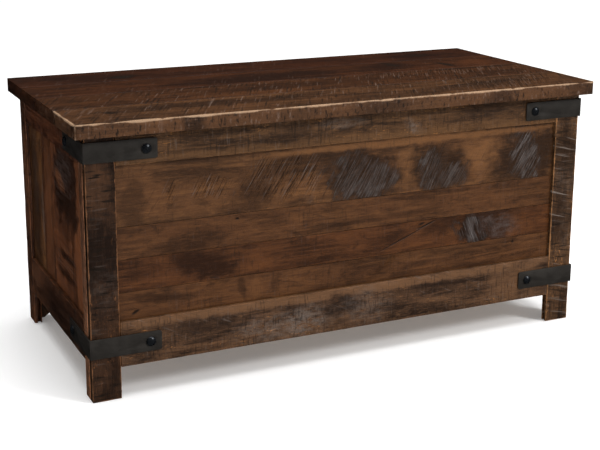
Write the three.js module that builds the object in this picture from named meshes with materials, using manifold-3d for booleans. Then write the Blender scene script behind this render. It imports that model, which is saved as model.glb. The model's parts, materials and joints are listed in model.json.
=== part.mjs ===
// Blanket chest with frame-and-panel walls, a hinged plank lid, iron corner straps and a slotted lid stay.
// Millimetres. +X is the chest's right, +Y its back, +Z up. The origin is on the floor, under the centre.
import * as THREE from 'three';
import { mergeVertices } from 'three/addons/utils/BufferGeometryUtils.js';
import Module from 'manifold-3d';

const wasm = await Module();
wasm.setup();

// ---- driving dimensions -------------------------------------------------------------------------------

const GAP = 0.25; // air between pieces that touch on the bench
const THROUGH = 1; // how far a cutter runs past the face it opens

const LID_LENGTH = 1175;
const LID_DEPTH = 565;
const LID_THICK = 28.5;
const LID_SEAMS = [153, 290, 430]; // distances of the plank joints from the lid's front edge

const CASE_LENGTH = 1131;
const CASE_DEPTH = 522;
const CASE_HEIGHT = 530;
const FRONT_OVERHANG = 22.5;

const STOCK = 18; // thickness of every stile and rail
const TOP_RAIL_FROM = 469;
const FRONT_RAIL = [65, 158]; // bottom rails: lower and upper edge
const SIDE_RAIL = [74, 158];
const WIDE_STILE = 60; // front and back stiles
const SIDE_STILE_FRONT = 29.5;
const SIDE_STILE_BACK = 47.5;
const FRONT_SEAMS = [215, 281, 346.5]; // heights of the joints between the front boards
const BACK_SEAMS = [262, 366];
const SIDE_SEAMS = [155, 233]; // distances of the side boards' joints from the back of the case

const GROOVE = [7.25, 14.25]; // depth range of the panel groove, from the frame's outer face
const GROOVE_DEEP = 10;
const TONGUE = [7.5, 14]; // the tongue that slides into it
const TONGUE_LONG = 9.5;

const FOOT_TOE = 11; // width of a back foot on the floor, before its slant
const FOOT_RISE = 38; // height that the slant reaches at the stile's inner edge

const FLOOR_THICK = 12;
const CLEAT = [20, 25]; // width and height
const CLEAT_FROM = 72;

const BATTEN = [60, 18]; // width and thickness
const BATTEN_AT = 330; // from the chest's middle
const BATTEN_SPAN = [-190, 200];

const STRAP_THICK = 3;
const STRAP_TALL = 40;
const STRAP_WING = 146; // length of each wing from the outer corner
const STRAP_ROUND = 4.5;
const STRAP_BEND = 1.5; // radius outside the fold
const STRAP_LEVELS = { lower: 111, upper: 499 };

const BOLT_FROM_END = 22.5;
const BOLT_HEAD = [9.75, 5.5]; // radius and rise of the dome
const BOLT_RIM = 1.25;
const BOLT_SHANK = [4, 13]; // radius and length into the wood

const HINGE_AT = 380; // from the chest's middle
const HINGE_LONG = 76;
const LEAF_THICK = 2;
const LEAF_DEEP = 20;
const KNUCKLES = 5;
const BARREL = 4;
const PIN = 2;
const PIN_HEAD = [3, 1.5];

const LID_OPENS = 100; // degrees
const STAY_RADIUS = 180; // distance of the stay's pivot, and of its guide pin, from the hinge axis
const STAY_DROP = 10; // how far the pivot lies below the hinge axis
const STAY_SPREAD = 12; // degrees between pivot and guide pin when the lid is shut
const STAY_THICK = 2.5;
const STAY_HALF_WIDE = 7.5;
const STAY_FACE = 533; // x of the arm's inner face
const STAY_PIN = 3;
const SLOT_HALF_WIDE = 3.25;
const BRACKET_THICK = 2.5;
const RIVET = [5, 1.5]; // radius and thickness of the pivot pin's head
const GUIDE_SHOULDER = 6; // radius of the collar that holds the arm off the wall
const GUIDE_HEAD = [5.5, 2];
const GUIDE_PLATE = [28, -9, 18]; // width, and lower and upper edge from the guide pin
const TAB = [30, 22]; // bracket's foot under the lid: along and across

// ---- places worked out from them ----------------------------------------------------------------------

const LID_FRONT = -LID_DEPTH / 2;
const LID_UNDER = CASE_HEIGHT + GAP;
const FRONT = LID_FRONT + FRONT_OVERHANG;
const BACK = FRONT + CASE_DEPTH;
const SIDE = CASE_LENGTH / 2;
const INSIDE_SIDE = SIDE - STOCK;
const INSIDE_FRONT = FRONT + STOCK;
const INSIDE_BACK = BACK - STOCK;
const FLOOR_FROM = CLEAT_FROM + CLEAT[1] + GAP;
const AXIS_Y = BACK + BARREL + GAP;
const AXIS_Z = LID_UNDER - BARREL - GAP;
const POCKET_FROM = AXIS_Z - GAP * 2;

// ---- finishes -----------------------------------------------------------------------------------------

const finish = (color, roughness, metalness) => () =>
  new THREE.MeshStandardMaterial({ color, roughness, metalness });
const stainedWood = finish(0x4a2f1f, 0.62, 0);
const panelWood = finish(0x53351f, 0.58, 0);
const lidWood = finish(0x452b1e, 0.5, 0);
const innerWood = finish(0x8a6a4a, 0.75, 0);
const blackIron = finish(0x2b2826, 0.55, 0.6);
const boltIron = finish(0x15161a, 0.35, 0.7);
const antiqueBrass = finish(0x6b5430, 0.4, 0.9);

// ---- solids -------------------------------------------------------------------------------------------

function solid(geometry) {
  geometry.deleteAttribute('normal');
  geometry.deleteAttribute('uv');
  const merged = mergeVertices(geometry, 1e-4);
  return new wasm.Manifold(new wasm.Mesh({
    numProp: 3,
    vertProperties: merged.getAttribute('position').array,
    triVerts: new Uint32Array(merged.getIndex().array),
  }));
}

function block(low, high) {
  const size = low.map((value, i) => high[i] - value);
  const centre = low.map((value, i) => (high[i] + value) / 2);
  return solid(new THREE.BoxGeometry(...size).translate(...centre));
}

// A round bar along X, Y or Z between two places on that axis, centred on the other two coordinates.
function rod(axis, radius, from, to, centre, sides = 24) {
  const bar = new THREE.CylinderGeometry(radius, radius, to - from, sides);
  if (axis === 'x') bar.rotateZ(-Math.PI / 2).translate((from + to) / 2, centre[0], centre[1]);
  if (axis === 'y') bar.translate(centre[0], (from + to) / 2, centre[1]);
  if (axis === 'z') bar.rotateX(Math.PI / 2).translate(centre[0], centre[1], (from + to) / 2);
  return solid(bar);
}

const joined = (pieces) => pieces.reduce((whole, piece) => whole.add(piece));
const cut = (whole, cutters) => cutters.reduce((left, cutter) => left.subtract(cutter), whole);

function shapeOf(points) {
  return new THREE.Shape(points.map(([x, y]) => new THREE.Vector2(x, y)));
}

// An outline in X and Y, extruded along Z.
function prism(shape, from, to, curveSegments = 6) {
  const body = new THREE.ExtrudeGeometry(shape, { depth: to - from, bevelEnabled: false, curveSegments });
  return body.translate(0, 0, from);
}

const standing = (geometry) => geometry.rotateX(Math.PI / 2); // outline in X and Z, extruded along -Y

function roundedBar(x0, x1, y0, y1, radius) {
  const bar = new THREE.Shape();
  bar.moveTo(x0 + radius, y0);
  bar.lineTo(x1 - radius, y0);
  bar.absarc(x1 - radius, y0 + radius, radius, -Math.PI / 2, 0);
  bar.lineTo(x1, y1 - radius);
  bar.absarc(x1 - radius, y1 - radius, radius, 0, Math.PI / 2);
  bar.lineTo(x0 + radius, y1);
  bar.absarc(x0 + radius, y1 - radius, radius, Math.PI / 2, Math.PI);
  bar.lineTo(x0, y0 + radius);
  bar.absarc(x0 + radius, y0 + radius, radius, Math.PI, Math.PI * 1.5);
  return bar;
}

function named(name, manifold, material) {
  const { vertProperties, triVerts } = manifold.getMesh();
  const geometry = new THREE.BufferGeometry();
  geometry.setAttribute('position', new THREE.BufferAttribute(new Float32Array(vertProperties), 3));
  geometry.setIndex(new THREE.BufferAttribute(new Uint32Array(triVerts), 1));
  geometry.computeVertexNormals();
  const mesh = new THREE.Mesh(geometry, material());
  mesh.name = name;
  return mesh;
}

// ---- frame-and-panel walls ----------------------------------------------------------------------------
// A wall is built flat: X runs to the right as seen from outside, Y goes inward from its outer face.

function stile(name, from, to, grooveAtTo, cutters = []) {
  const inner = grooveAtTo ? to : from;
  const deep = grooveAtTo ? inner - GROOVE_DEEP : inner + GROOVE_DEEP;
  const past = grooveAtTo ? inner + THROUGH : inner - THROUGH;
  const groove = block(
    [Math.min(deep, past), GROOVE[0], -THROUGH],
    [Math.max(deep, past), GROOVE[1], CASE_HEIGHT + THROUGH],
  );
  const board = block([from, 0, 0], [to, STOCK, CASE_HEIGHT]);
  return named(name, cut(board, [groove, ...cutters]), stainedWood);
}

function rail(name, from, to, low, high, grooveAtTop, cutters = []) {
  const tenon = block([from - TONGUE_LONG, TONGUE[0], low], [to + TONGUE_LONG, TONGUE[1], high]);
  const board = block([from + GAP, 0, low], [to - GAP, STOCK, high]);
  const grooveLow = grooveAtTop ? high - GROOVE_DEEP : low - THROUGH;
  const grooveHigh = grooveAtTop ? high + THROUGH : low + GROOVE_DEEP;
  const groove = block(
    [from - TONGUE_LONG - THROUGH, GROOVE[0], grooveLow],
    [to + TONGUE_LONG + THROUGH, GROOVE[1], grooveHigh],
  );
  return named(name, cut(board.add(tenon), [groove, ...cutters]), stainedWood);
}

// One board of a panel. The tongues are the sides on which it runs into a groove.
function panelBoard(name, from, to, low, high, tongues) {
  const reach = (side) => (tongues.includes(side) ? TONGUE_LONG : 0);
  const body = block([from, TONGUE[0], low], [to, STOCK, high]);
  const tongue = block(
    [from - reach('left'), TONGUE[0], low - reach('down')],
    [to + reach('right'), TONGUE[1], high + reach('up')],
  );
  return named(name, body.add(tongue), panelWood);
}

// Splits a width at its seams, with a gap at each seam and the whole width kept.
function ranges(low, high, seams) {
  const edges = [low - GAP / 2, ...seams, high + GAP / 2];
  return edges.slice(1).map((edge, i) => [edges[i] + GAP / 2, edge - GAP / 2]);
}

function lyingBoards(prefix, from, to, low, high, seams) {
  const spans = ranges(low + GAP, high - GAP, seams);
  return spans.map(([bottom, top], i) => {
    const tongues = ['left', 'right'];
    if (i === 0) tongues.push('down');
    if (i === spans.length - 1) tongues.push('up');
    return panelBoard(`${prefix}_board_${spans.length - i}`, from + GAP, to - GAP, bottom, top, tongues);
  });
}

function standingBoards(prefix, from, to, low, high, seams) {
  const spans = ranges(from + GAP, to - GAP, seams);
  return spans.map(([left, right], i) => {
    const tongues = ['down', 'up'];
    if (i === 0) tongues.push('left');
    if (i === spans.length - 1) tongues.push('right');
    return panelBoard(`${prefix}_board_${i + 1}`, left, right, low + GAP, high - GAP, tongues);
  });
}

// ---- bolt holes ---------------------------------------------------------------------------------------

const boltOffset = SIDE + STRAP_THICK - STRAP_WING + BOLT_FROM_END; // from the middle, along the front
const sideBoltY = FRONT - STRAP_THICK + STRAP_WING - BOLT_FROM_END;
const HOLE = BOLT_SHANK[0] + GAP;
const HOLE_DEEP = BOLT_SHANK[1] + THROUGH;

function boltHoles(places, level) {
  return places.map((along) => rod('y', HOLE, -THROUGH, HOLE_DEEP, [along, level]));
}

// ---- the four walls -----------------------------------------------------------------------------------

function frontWall() {
  const wall = new THREE.Group();
  const inner = SIDE - WIDE_STILE;
  const bolts = [-boltOffset, boltOffset];
  wall.add(stile('front_stile_left', -SIDE, -inner, true));
  wall.add(stile('front_stile_right', inner, SIDE, false));
  wall.add(rail('front_rail_top', -inner, inner, TOP_RAIL_FROM, CASE_HEIGHT, false,
    boltHoles(bolts, STRAP_LEVELS.upper)));
  wall.add(rail('front_rail_bottom', -inner, inner, ...FRONT_RAIL, true,
    boltHoles(bolts, STRAP_LEVELS.lower)));
  wall.add(...lyingBoards('front', -inner, inner, FRONT_RAIL[1], TOP_RAIL_FROM, FRONT_SEAMS));
  wall.position.y = FRONT;
  return wall;
}

// hand is -1 for the left wall and 1 for the right. Its front stile stands behind the front wall's stile.
function sideWall(name, hand) {
  const wall = new THREE.Group();
  const front = INSIDE_FRONT + GAP;
  const spanOf = (a, b) => [Math.min(hand * a, hand * b), Math.max(hand * a, hand * b)];
  const frontInner = FRONT + STOCK + SIDE_STILE_FRONT;
  const backInner = BACK - SIDE_STILE_BACK;
  const opening = spanOf(frontInner, backInner);
  const bolts = [hand * sideBoltY];
  const seams = SIDE_SEAMS.map((seam) => hand * (BACK - seam)).sort((a, b) => a - b);
  wall.add(stile(`${name}_stile_front`, ...spanOf(front, frontInner), hand > 0));
  wall.add(stile(`${name}_stile_back`, ...spanOf(backInner, BACK), hand < 0));
  const topCutters = boltHoles(bolts, STRAP_LEVELS.upper);
  wall.add(rail(`${name}_rail_top`, ...opening, TOP_RAIL_FROM, CASE_HEIGHT, false, topCutters));
  wall.add(rail(`${name}_rail_bottom`, ...opening, ...SIDE_RAIL, true, boltHoles(bolts, STRAP_LEVELS.lower)));
  wall.add(...standingBoards(name, ...opening, SIDE_RAIL[1], TOP_RAIL_FROM, seams));
  wall.rotation.z = hand * Math.PI / 2;
  wall.position.x = hand * SIDE;
  return wall;
}

function footSlant(outer, inner) {
  const towardsInner = Math.sign(inner - outer);
  const toe = outer + towardsInner * FOOT_TOE;
  const past = inner + towardsInner * THROUGH;
  const slope = FOOT_RISE / (inner - toe);
  const wedge = shapeOf([[toe, 0], [toe, -THROUGH], [past, -THROUGH], [past, slope * (past - toe)]]);
  return solid(standing(prism(wedge, -THROUGH, STOCK + THROUGH)).translate(0, STOCK, 0));
}

function hingePockets() {
  return [-1, 1].map((hand) => block(
    [hand * HINGE_AT - HINGE_LONG / 2 - GAP, -THROUGH, POCKET_FROM],
    [hand * HINGE_AT + HINGE_LONG / 2 + GAP, LEAF_DEEP - BARREL, CASE_HEIGHT + THROUGH],
  ));
}

function backWall() {
  const wall = new THREE.Group();
  const outer = INSIDE_SIDE - GAP;
  const inner = outer - WIDE_STILE;
  wall.add(stile('back_stile_right', -outer, -inner, true, [footSlant(-outer, -inner)]));
  wall.add(stile('back_stile_left', inner, outer, false, [footSlant(outer, inner)]));
  wall.add(rail('back_rail_top', -inner, inner, TOP_RAIL_FROM, CASE_HEIGHT, false, hingePockets()));
  wall.add(rail('back_rail_bottom', -inner, inner, ...SIDE_RAIL, true));
  wall.add(...lyingBoards('back', -inner, inner, SIDE_RAIL[1], TOP_RAIL_FROM, BACK_SEAMS));
  wall.rotation.z = Math.PI;
  wall.position.y = BACK;
  return wall;
}

// ---- floor of the case --------------------------------------------------------------------------------

function caseFloor() {
  const floor = new THREE.Group();
  const half = INSIDE_SIDE - GAP;
  const front = INSIDE_FRONT + GAP;
  const back = INSIDE_BACK - GAP;
  const top = CLEAT_FROM + CLEAT[1];
  const pieces = {
    floor_cleat_front: block([-half, front, CLEAT_FROM], [half, front + CLEAT[0], top]),
    floor_cleat_back: block([-half, back - CLEAT[0], CLEAT_FROM], [half, back, top]),
    floor_panel: block([-half, front, FLOOR_FROM], [half, back, FLOOR_FROM + FLOOR_THICK]),
  };
  floor.add(...Object.entries(pieces).map(([name, piece]) => named(name, piece, innerWood)));
  return floor;
}

// ---- lid ----------------------------------------------------------------------------------------------

function lid() {
  const group = new THREE.Group();
  const half = LID_LENGTH / 2;
  ranges(0, LID_DEPTH, LID_SEAMS).forEach(([from, to], i) => {
    const plank = block([-half, from + LID_FRONT, LID_UNDER], [half, to + LID_FRONT, LID_UNDER + LID_THICK]);
    group.add(named(`lid_plank_${i + 1}`, plank, lidWood));
  });
  for (const [side, hand] of [['left', -1], ['right', 1]]) {
    const middle = hand * BATTEN_AT;
    const batten = block(
      [middle - BATTEN[0] / 2, BATTEN_SPAN[0], LID_UNDER - GAP - BATTEN[1]],
      [middle + BATTEN[0] / 2, BATTEN_SPAN[1], LID_UNDER - GAP],
    );
    group.add(named(`lid_batten_${side}`, batten, lidWood));
  }
  return group;
}

// ---- iron straps and bolts ----------------------------------------------------------------------------
// Built round the front left corner, with the outer corner of the folded strap at the origin.

function strapSolid() {
  const wing = STRAP_WING;
  const t = STRAP_THICK;
  const fold = new THREE.Shape();
  fold.moveTo(STRAP_BEND, 0);
  fold.lineTo(wing, 0);
  fold.lineTo(wing, t - GAP);
  fold.lineTo(t - GAP, t - GAP);
  fold.lineTo(t - GAP, wing);
  fold.lineTo(0, wing);
  fold.lineTo(0, STRAP_BEND);
  fold.absarc(STRAP_BEND, STRAP_BEND, STRAP_BEND, Math.PI, Math.PI * 1.5);
  const half = STRAP_TALL / 2;
  const band = solid(prism(fold, -half, half));
  const outline = roundedBar(-STRAP_TALL, wing, -half, half, STRAP_ROUND);
  const rounding = () => standing(prism(outline, -wing * 2, wing * 2));
  const frontEnds = solid(rounding());
  const sideEnds = solid(rounding().rotateZ(Math.PI / 2));
  const hole = wing - BOLT_FROM_END;
  return cut(band.intersect(frontEnds).intersect(sideEnds), [
    rod('y', HOLE, -THROUGH, t + THROUGH, [hole, 0]),
    rod('x', HOLE, -THROUGH, t + THROUGH, [hole, 0]),
  ]);
}

// A domed bolt along +Z: shank below zero, rim and dome above.
function boltSolid() {
  const [headRadius, rise] = BOLT_HEAD;
  const [shankRadius, shankLong] = BOLT_SHANK;
  const domeRise = rise - BOLT_RIM;
  const sphere = (headRadius ** 2 + domeRise ** 2) / (2 * domeRise);
  const sweep = Math.asin(headRadius / sphere);
  const steps = 6;
  const profile = [[0, -shankLong], [shankRadius, -shankLong], [shankRadius, GAP], [headRadius, GAP]];
  for (let i = 0; i < steps; i += 1) {
    const angle = sweep * (1 - i / steps);
    profile.push([sphere * Math.sin(angle), rise - sphere * (1 - Math.cos(angle))]);
  }
  profile.push([0, rise]);
  const points = profile.map(([x, y]) => new THREE.Vector2(x, y));
  return new THREE.LatheGeometry(points, 28).rotateX(Math.PI / 2);
}

function cornerIron(hand) {
  const side = hand < 0 ? 'left' : 'right';
  const group = new THREE.Group();
  const cornerX = hand * (SIDE + STRAP_THICK);
  const cornerY = FRONT - STRAP_THICK;
  for (const [level, height] of Object.entries(STRAP_LEVELS)) {
    const strap = named(`strap_${level}_${side}`, strapSolid(), blackIron);
    strap.rotation.z = hand > 0 ? Math.PI / 2 : 0;
    strap.position.set(cornerX, cornerY, height);
    group.add(strap);
    const frontBolt = named(`bolt_${level}_${side}_front`, solid(boltSolid()), boltIron);
    frontBolt.rotation.x = Math.PI / 2;
    frontBolt.position.set(hand * boltOffset, cornerY, height);
    const sideBolt = named(`bolt_${level}_${side}_side`, solid(boltSolid()), boltIron);
    sideBolt.rotation.y = hand * Math.PI / 2;
    sideBolt.position.set(cornerX, sideBoltY, height);
    group.add(frontBolt, sideBolt);
  }
  return group;
}

// ---- hinges -------------------------------------------------------------------------------------------

// One leaf, centred on its pin. Its own knuckles are the even or the odd ones of the row.
function leafSolid(low, evenKnuckles) {
  const half = HINGE_LONG / 2;
  const knuckle = HINGE_LONG / KNUCKLES;
  const pieces = [block([-half, -LEAF_DEEP, low], [half, -BARREL - GAP * 2, low + LEAF_THICK])];
  for (let i = evenKnuckles ? 0 : 1; i < KNUCKLES; i += 2) {
    const from = -half + i * knuckle + (i > 0 ? GAP / 2 : 0);
    const to = -half + (i + 1) * knuckle - (i < KNUCKLES - 1 ? GAP / 2 : 0);
    pieces.push(rod('x', BARREL, from, to, [0, 0]));
    pieces.push(block([from, -BARREL - GAP * 3, low], [to, 0, low + LEAF_THICK]));
  }
  return joined(pieces).subtract(rod('x', PIN + GAP / 2, -half - THROUGH, half + THROUGH, [0, 0]));
}

function hinge(side, hand) {
  const group = new THREE.Group();
  const half = HINGE_LONG / 2;
  const caseLeafLow = BARREL - 2 * LEAF_THICK - GAP;
  const heads = [[-half - PIN_HEAD[1] - GAP, -half - GAP], [half + GAP, half + GAP + PIN_HEAD[1]]];
  const pin = joined([
    rod('x', PIN, -half - GAP * 2, half + GAP * 2, [0, 0]),
    ...heads.map(([from, to]) => rod('x', PIN_HEAD[0], from, to, [0, 0])),
  ]);
  group.add(named(`hinge_case_leaf_${side}`, leafSolid(caseLeafLow, true), antiqueBrass));
  group.add(named(`hinge_lid_leaf_${side}`, leafSolid(BARREL - LEAF_THICK, false), antiqueBrass));
  group.add(named(`hinge_pin_${side}`, pin, antiqueBrass));
  group.position.set(hand * HINGE_AT, AXIS_Y, AXIS_Z);
  return group;
}

// ---- lid stay -----------------------------------------------------------------------------------------
// The arm's pivot and the guide pin are equally far from the hinge axis, so the arm always turns half as far
// as the lid, and its slot slides along the guide pin.

const radians = THREE.MathUtils.degToRad;
const pivotAngle = Math.asin(STAY_DROP / STAY_RADIUS);
const onStayCircle = (angle) => [
  AXIS_Y - STAY_RADIUS * Math.cos(angle),
  AXIS_Z - STAY_RADIUS * Math.sin(angle),
];
const PIVOT = onStayCircle(pivotAngle);
const GUIDE = onStayCircle(pivotAngle + radians(STAY_SPREAD));
const chord = (degrees) => 2 * STAY_RADIUS * Math.sin(radians(degrees) / 2);

// The arm lies along +X from its pivot, and is laid in place afterwards.
function armSolid() {
  const near = chord(STAY_SPREAD);
  const far = chord(STAY_SPREAD + LID_OPENS);
  const wide = STAY_HALF_WIDE;
  const end = far + SLOT_HALF_WIDE + wide - STAY_PIN;
  const bar = prism(roundedBar(-wide, end, -wide, wide, wide - GAP), 0, STAY_THICK, 10);
  const slotRound = SLOT_HALF_WIDE - GAP / 8;
  const slot = prism(
    roundedBar(near - SLOT_HALF_WIDE, far + SLOT_HALF_WIDE, -SLOT_HALF_WIDE, SLOT_HALF_WIDE, slotRound),
    -THROUGH, STAY_THICK + THROUGH, 8,
  );
  const eye = rod('z', STAY_PIN + GAP / 2, -THROUGH, STAY_THICK + THROUGH, [0, 0]);
  return cut(solid(bar), [solid(slot), eye]);
}

function stayArm() {
  const direction = Math.atan2(GUIDE[1] - PIVOT[1], GUIDE[0] - PIVOT[0]);
  const arm = named('stay_arm', armSolid(), antiqueBrass);
  const laid = new THREE.Group();
  arm.rotation.z = direction;
  laid.add(arm);
  laid.rotation.set(Math.PI / 2, Math.PI / 2, 0);
  laid.position.set(STAY_FACE, ...PIVOT);
  return laid;
}

// Upright cheek beside the arm with the pivot pin, and a foot that screws to the lid.
function stayLidBracket() {
  const [y, z] = PIVOT;
  const top = LID_UNDER - GAP;
  const inner = STAY_FACE - GAP;
  const [from, to] = [y - TAB[0] / 2, y + TAB[0] / 2];
  const cheek = block([inner - BRACKET_THICK, from, z - STAY_HALF_WIDE], [inner, to, top]);
  const foot = block([inner - TAB[1], from, top - BRACKET_THICK], [inner, to, top]);
  const outer = STAY_FACE + STAY_THICK;
  const pin = rod('x', STAY_PIN, inner - BRACKET_THICK, outer + GAP, [y, z]);
  const rivet = rod('x', RIVET[0], outer + GAP, outer + GAP + RIVET[1], [y, z]);
  return named('stay_lid_bracket', joined([cheek, foot, pin, rivet]), antiqueBrass);
}

// Plate on the side wall with the headed pin that the arm's slot slides over.
function stayGuide() {
  const [y, z] = GUIDE;
  const wall = INSIDE_SIDE - GAP;
  const [wide, low, high] = GUIDE_PLATE;
  const plate = block([wall - BRACKET_THICK, y - wide / 2, z + low], [wall, y + wide / 2, z + high]);
  const shoulder = rod('x', GUIDE_SHOULDER, STAY_FACE + STAY_THICK + GAP, wall - GAP, [y, z]);
  const pin = rod('x', STAY_PIN, STAY_FACE - GAP * 2, wall - GAP, [y, z]);
  const head = rod('x', GUIDE_HEAD[0], STAY_FACE - GAP - GUIDE_HEAD[1], STAY_FACE - GAP, [y, z]);
  return named('stay_guide', joined([plate, shoulder, pin, head]), antiqueBrass);
}

// ---- the chest ----------------------------------------------------------------------------------------

const chest = new THREE.Group();
chest.add(frontWall(), sideWall('left', -1), sideWall('right', 1), backWall(), caseFloor());
chest.add(cornerIron(-1), cornerIron(1));
chest.add(hinge('left', -1), hinge('right', 1));
chest.add(lid(), stayLidBracket(), stayArm(), stayGuide());

export default chest;
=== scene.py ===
"""Blanket chest of rough-sawn, dark stained hardwood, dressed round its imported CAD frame.

Frame-and-panel walls, a lid of four planks, iron corner straps with domed bolts, brass hinges and a slotted
lid stay. Metres, +Z up, with the floor at zero and the chest's front towards -Y.
"""

import json
import logging
import math
import random
from collections.abc import Callable, Iterable
from dataclasses import dataclass, field
from enum import Enum

import bmesh
import bpy
from mathutils import Euler, Matrix, Vector


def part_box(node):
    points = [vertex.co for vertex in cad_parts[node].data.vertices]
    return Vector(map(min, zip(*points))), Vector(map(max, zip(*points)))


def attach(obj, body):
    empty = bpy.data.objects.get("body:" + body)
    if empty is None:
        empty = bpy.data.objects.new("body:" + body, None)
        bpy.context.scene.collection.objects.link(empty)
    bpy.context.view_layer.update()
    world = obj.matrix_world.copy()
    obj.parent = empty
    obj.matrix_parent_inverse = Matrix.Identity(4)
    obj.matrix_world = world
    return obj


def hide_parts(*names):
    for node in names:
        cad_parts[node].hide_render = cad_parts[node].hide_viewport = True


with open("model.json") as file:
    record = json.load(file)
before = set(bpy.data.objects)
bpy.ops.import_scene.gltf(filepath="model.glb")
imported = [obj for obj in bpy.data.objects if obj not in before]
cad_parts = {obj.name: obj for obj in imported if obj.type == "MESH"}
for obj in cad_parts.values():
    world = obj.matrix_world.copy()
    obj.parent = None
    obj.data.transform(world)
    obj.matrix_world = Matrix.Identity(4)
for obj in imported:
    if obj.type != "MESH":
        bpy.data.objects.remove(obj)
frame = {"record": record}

LOG = logging.getLogger("chest")
MM = 0.001
NEAR = 0.05 * MM
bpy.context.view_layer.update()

Colour = tuple[float, float, float]
Piece = bpy.types.Object
Socket = bpy.types.NodeSocket
Test = Callable[[Vector, Vector], bool]


# ---- bench work -------------------------------------------------------------------------------------------


def deselect() -> None:
    """Leaves every object unselected."""
    if bpy.context.mode != "OBJECT":
        bpy.ops.object.mode_set(mode="OBJECT")
    bpy.ops.object.select_all(action="DESELECT")
    bpy.context.view_layer.objects.active = None


def take(piece: Piece) -> Piece:
    """Makes a piece the only one selected, and the active one."""
    deselect()
    piece.select_set(True)
    bpy.context.view_layer.objects.active = piece
    return piece


def settle(piece: Piece) -> Piece:
    """Moves a piece's place, turn and scale into its mesh, so that its object sits at the origin."""
    take(piece)
    bpy.ops.object.transform_apply(location=True, rotation=True, scale=True)
    return piece


def block(name: str, low: Vector, high: Vector) -> Piece:
    """Starts a piece as a block between two corners.

    Args:
        name: The piece's name.
        low: Its lowest corner.
        high: Its highest corner.

    Returns:
        The new mesh object, at the origin.
    """
    deselect()
    bpy.ops.mesh.primitive_cube_add(size=1, location=(low + high) / 2, scale=high - low)
    piece = bpy.context.active_object
    piece.name = piece.data.name = name
    return settle(piece)


def disc(name: str, radius: float, depth: float, sides: int = 32) -> Piece:
    """Starts a piece as a round bar along Z, from the origin upwards."""
    deselect()
    middle = (0, 0, depth / 2)
    bpy.ops.mesh.primitive_cylinder_add(vertices=sides, radius=radius, depth=depth, location=middle)
    piece = bpy.context.active_object
    piece.name = piece.data.name = name
    return settle(piece)


def laid(piece: Piece, place: Vector, turn: tuple[float, float, float] = (0, 0, 0)) -> Piece:
    """Turns a piece about the origin by XYZ angles in degrees, moves it to a place, and settles it."""
    piece.rotation_euler = [math.radians(angle) for angle in turn]
    piece.location = place
    return settle(piece)


def another(piece: Piece, name: str) -> Piece:
    """A copy of a piece with a mesh of its own."""
    copy = piece.copy()
    copy.data = piece.data.copy()
    copy.name = copy.data.name = name
    bpy.context.scene.collection.objects.link(copy)
    return copy


def discard(piece: Piece) -> None:
    """Removes a piece that was only a tool or a pattern."""
    bpy.data.meshes.remove(piece.data)


def pick_faces(piece: Piece, test: Test) -> int:
    """Opens a piece in edit mode and selects the faces that pass a test of centre and normal."""
    take(piece)
    bpy.ops.object.mode_set(mode="EDIT")
    bpy.ops.mesh.select_mode(type="FACE")
    mesh = bmesh.from_edit_mesh(piece.data)
    for face in mesh.faces:
        face.select_set(test(face.calc_center_median(), face.normal))
    bmesh.update_edit_mesh(piece.data)
    return sum(face.select for face in mesh.faces)


def pick_edges(piece: Piece, test: Test) -> int:
    """Opens a piece in edit mode and selects the edges that pass a test of their two ends."""
    take(piece)
    bpy.ops.object.mode_set(mode="EDIT")
    bpy.ops.mesh.select_mode(type="EDGE")
    mesh = bmesh.from_edit_mesh(piece.data)
    chosen = [edge for edge in mesh.edges if test(edge.verts[0].co, edge.verts[1].co)]
    for item in (*mesh.faces, *mesh.edges, *mesh.verts):
        item.select = False
    for edge in chosen:
        edge.select_set(True)
    bmesh.update_edit_mesh(piece.data)
    return len(chosen)


def close_up(piece: Piece) -> Piece:
    """Leaves edit mode."""
    bpy.ops.object.mode_set(mode="OBJECT")
    return piece


def push(way: Vector | tuple[float, float, float], share: float = 1.0, level: float = 0.0) -> None:
    """Extrudes the picked faces along a vector, then draws them in towards the Z axis at a level."""
    bpy.ops.mesh.extrude_region_move(TRANSFORM_OT_translate={"value": way})
    if share != 1.0:
        bpy.ops.transform.resize(value=(share, share, 1), center_override=(0, 0, level))


def saw_through(piece: Piece, at: Vector, normal: Vector, off: bool = False) -> Piece:
    """Cuts a piece along a plane.

    Args:
        piece: The piece to cut.
        at: A point on the plane.
        normal: The plane's normal.
        off: Whether what lies beyond the plane comes off and the cut is closed.

    Returns:
        The piece.
    """
    pick_faces(piece, lambda centre, way: True)
    bpy.ops.mesh.bisect(plane_co=at, plane_no=normal, clear_outer=off, use_fill=off)
    return close_up(piece)


def along_axis(axis: int, least: float = 0.0) -> Test:
    """A test for edges that run along one axis and are longer than a given length."""
    others = [i for i in range(3) if i != axis]

    def runs(a: Vector, b: Vector) -> bool:
        """Whether the edge between two points runs along the axis."""
        return abs(a[axis] - b[axis]) > max(least, 1e-5) and all(abs(a[i] - b[i]) < 2e-4 for i in others)

    return runs


def lying_at(axis: int, value: float, other: int, runs: bool) -> Test:
    """A test for edges at a value on one axis that do, or do not, run along another axis."""

    def lies(a: Vector, b: Vector) -> bool:
        """Whether the edge between two points lies there."""
        there = abs(a[axis] - value) < NEAR and abs(b[axis] - value) < NEAR
        return there and (abs(a[other] - b[other]) > NEAR) == runs

    return lies


def subdivide(piece: Piece, axis: int, step: float) -> Piece:
    """Divides the long edges along an axis into steps of about the length given."""
    size = piece.dimensions[axis]
    cuts = max(1, round(size / step) - 1)
    if pick_edges(piece, along_axis(axis, max(size * 0.3, 0.01))):
        bpy.ops.mesh.subdivide(number_cuts=cuts)
    return close_up(piece)


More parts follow.
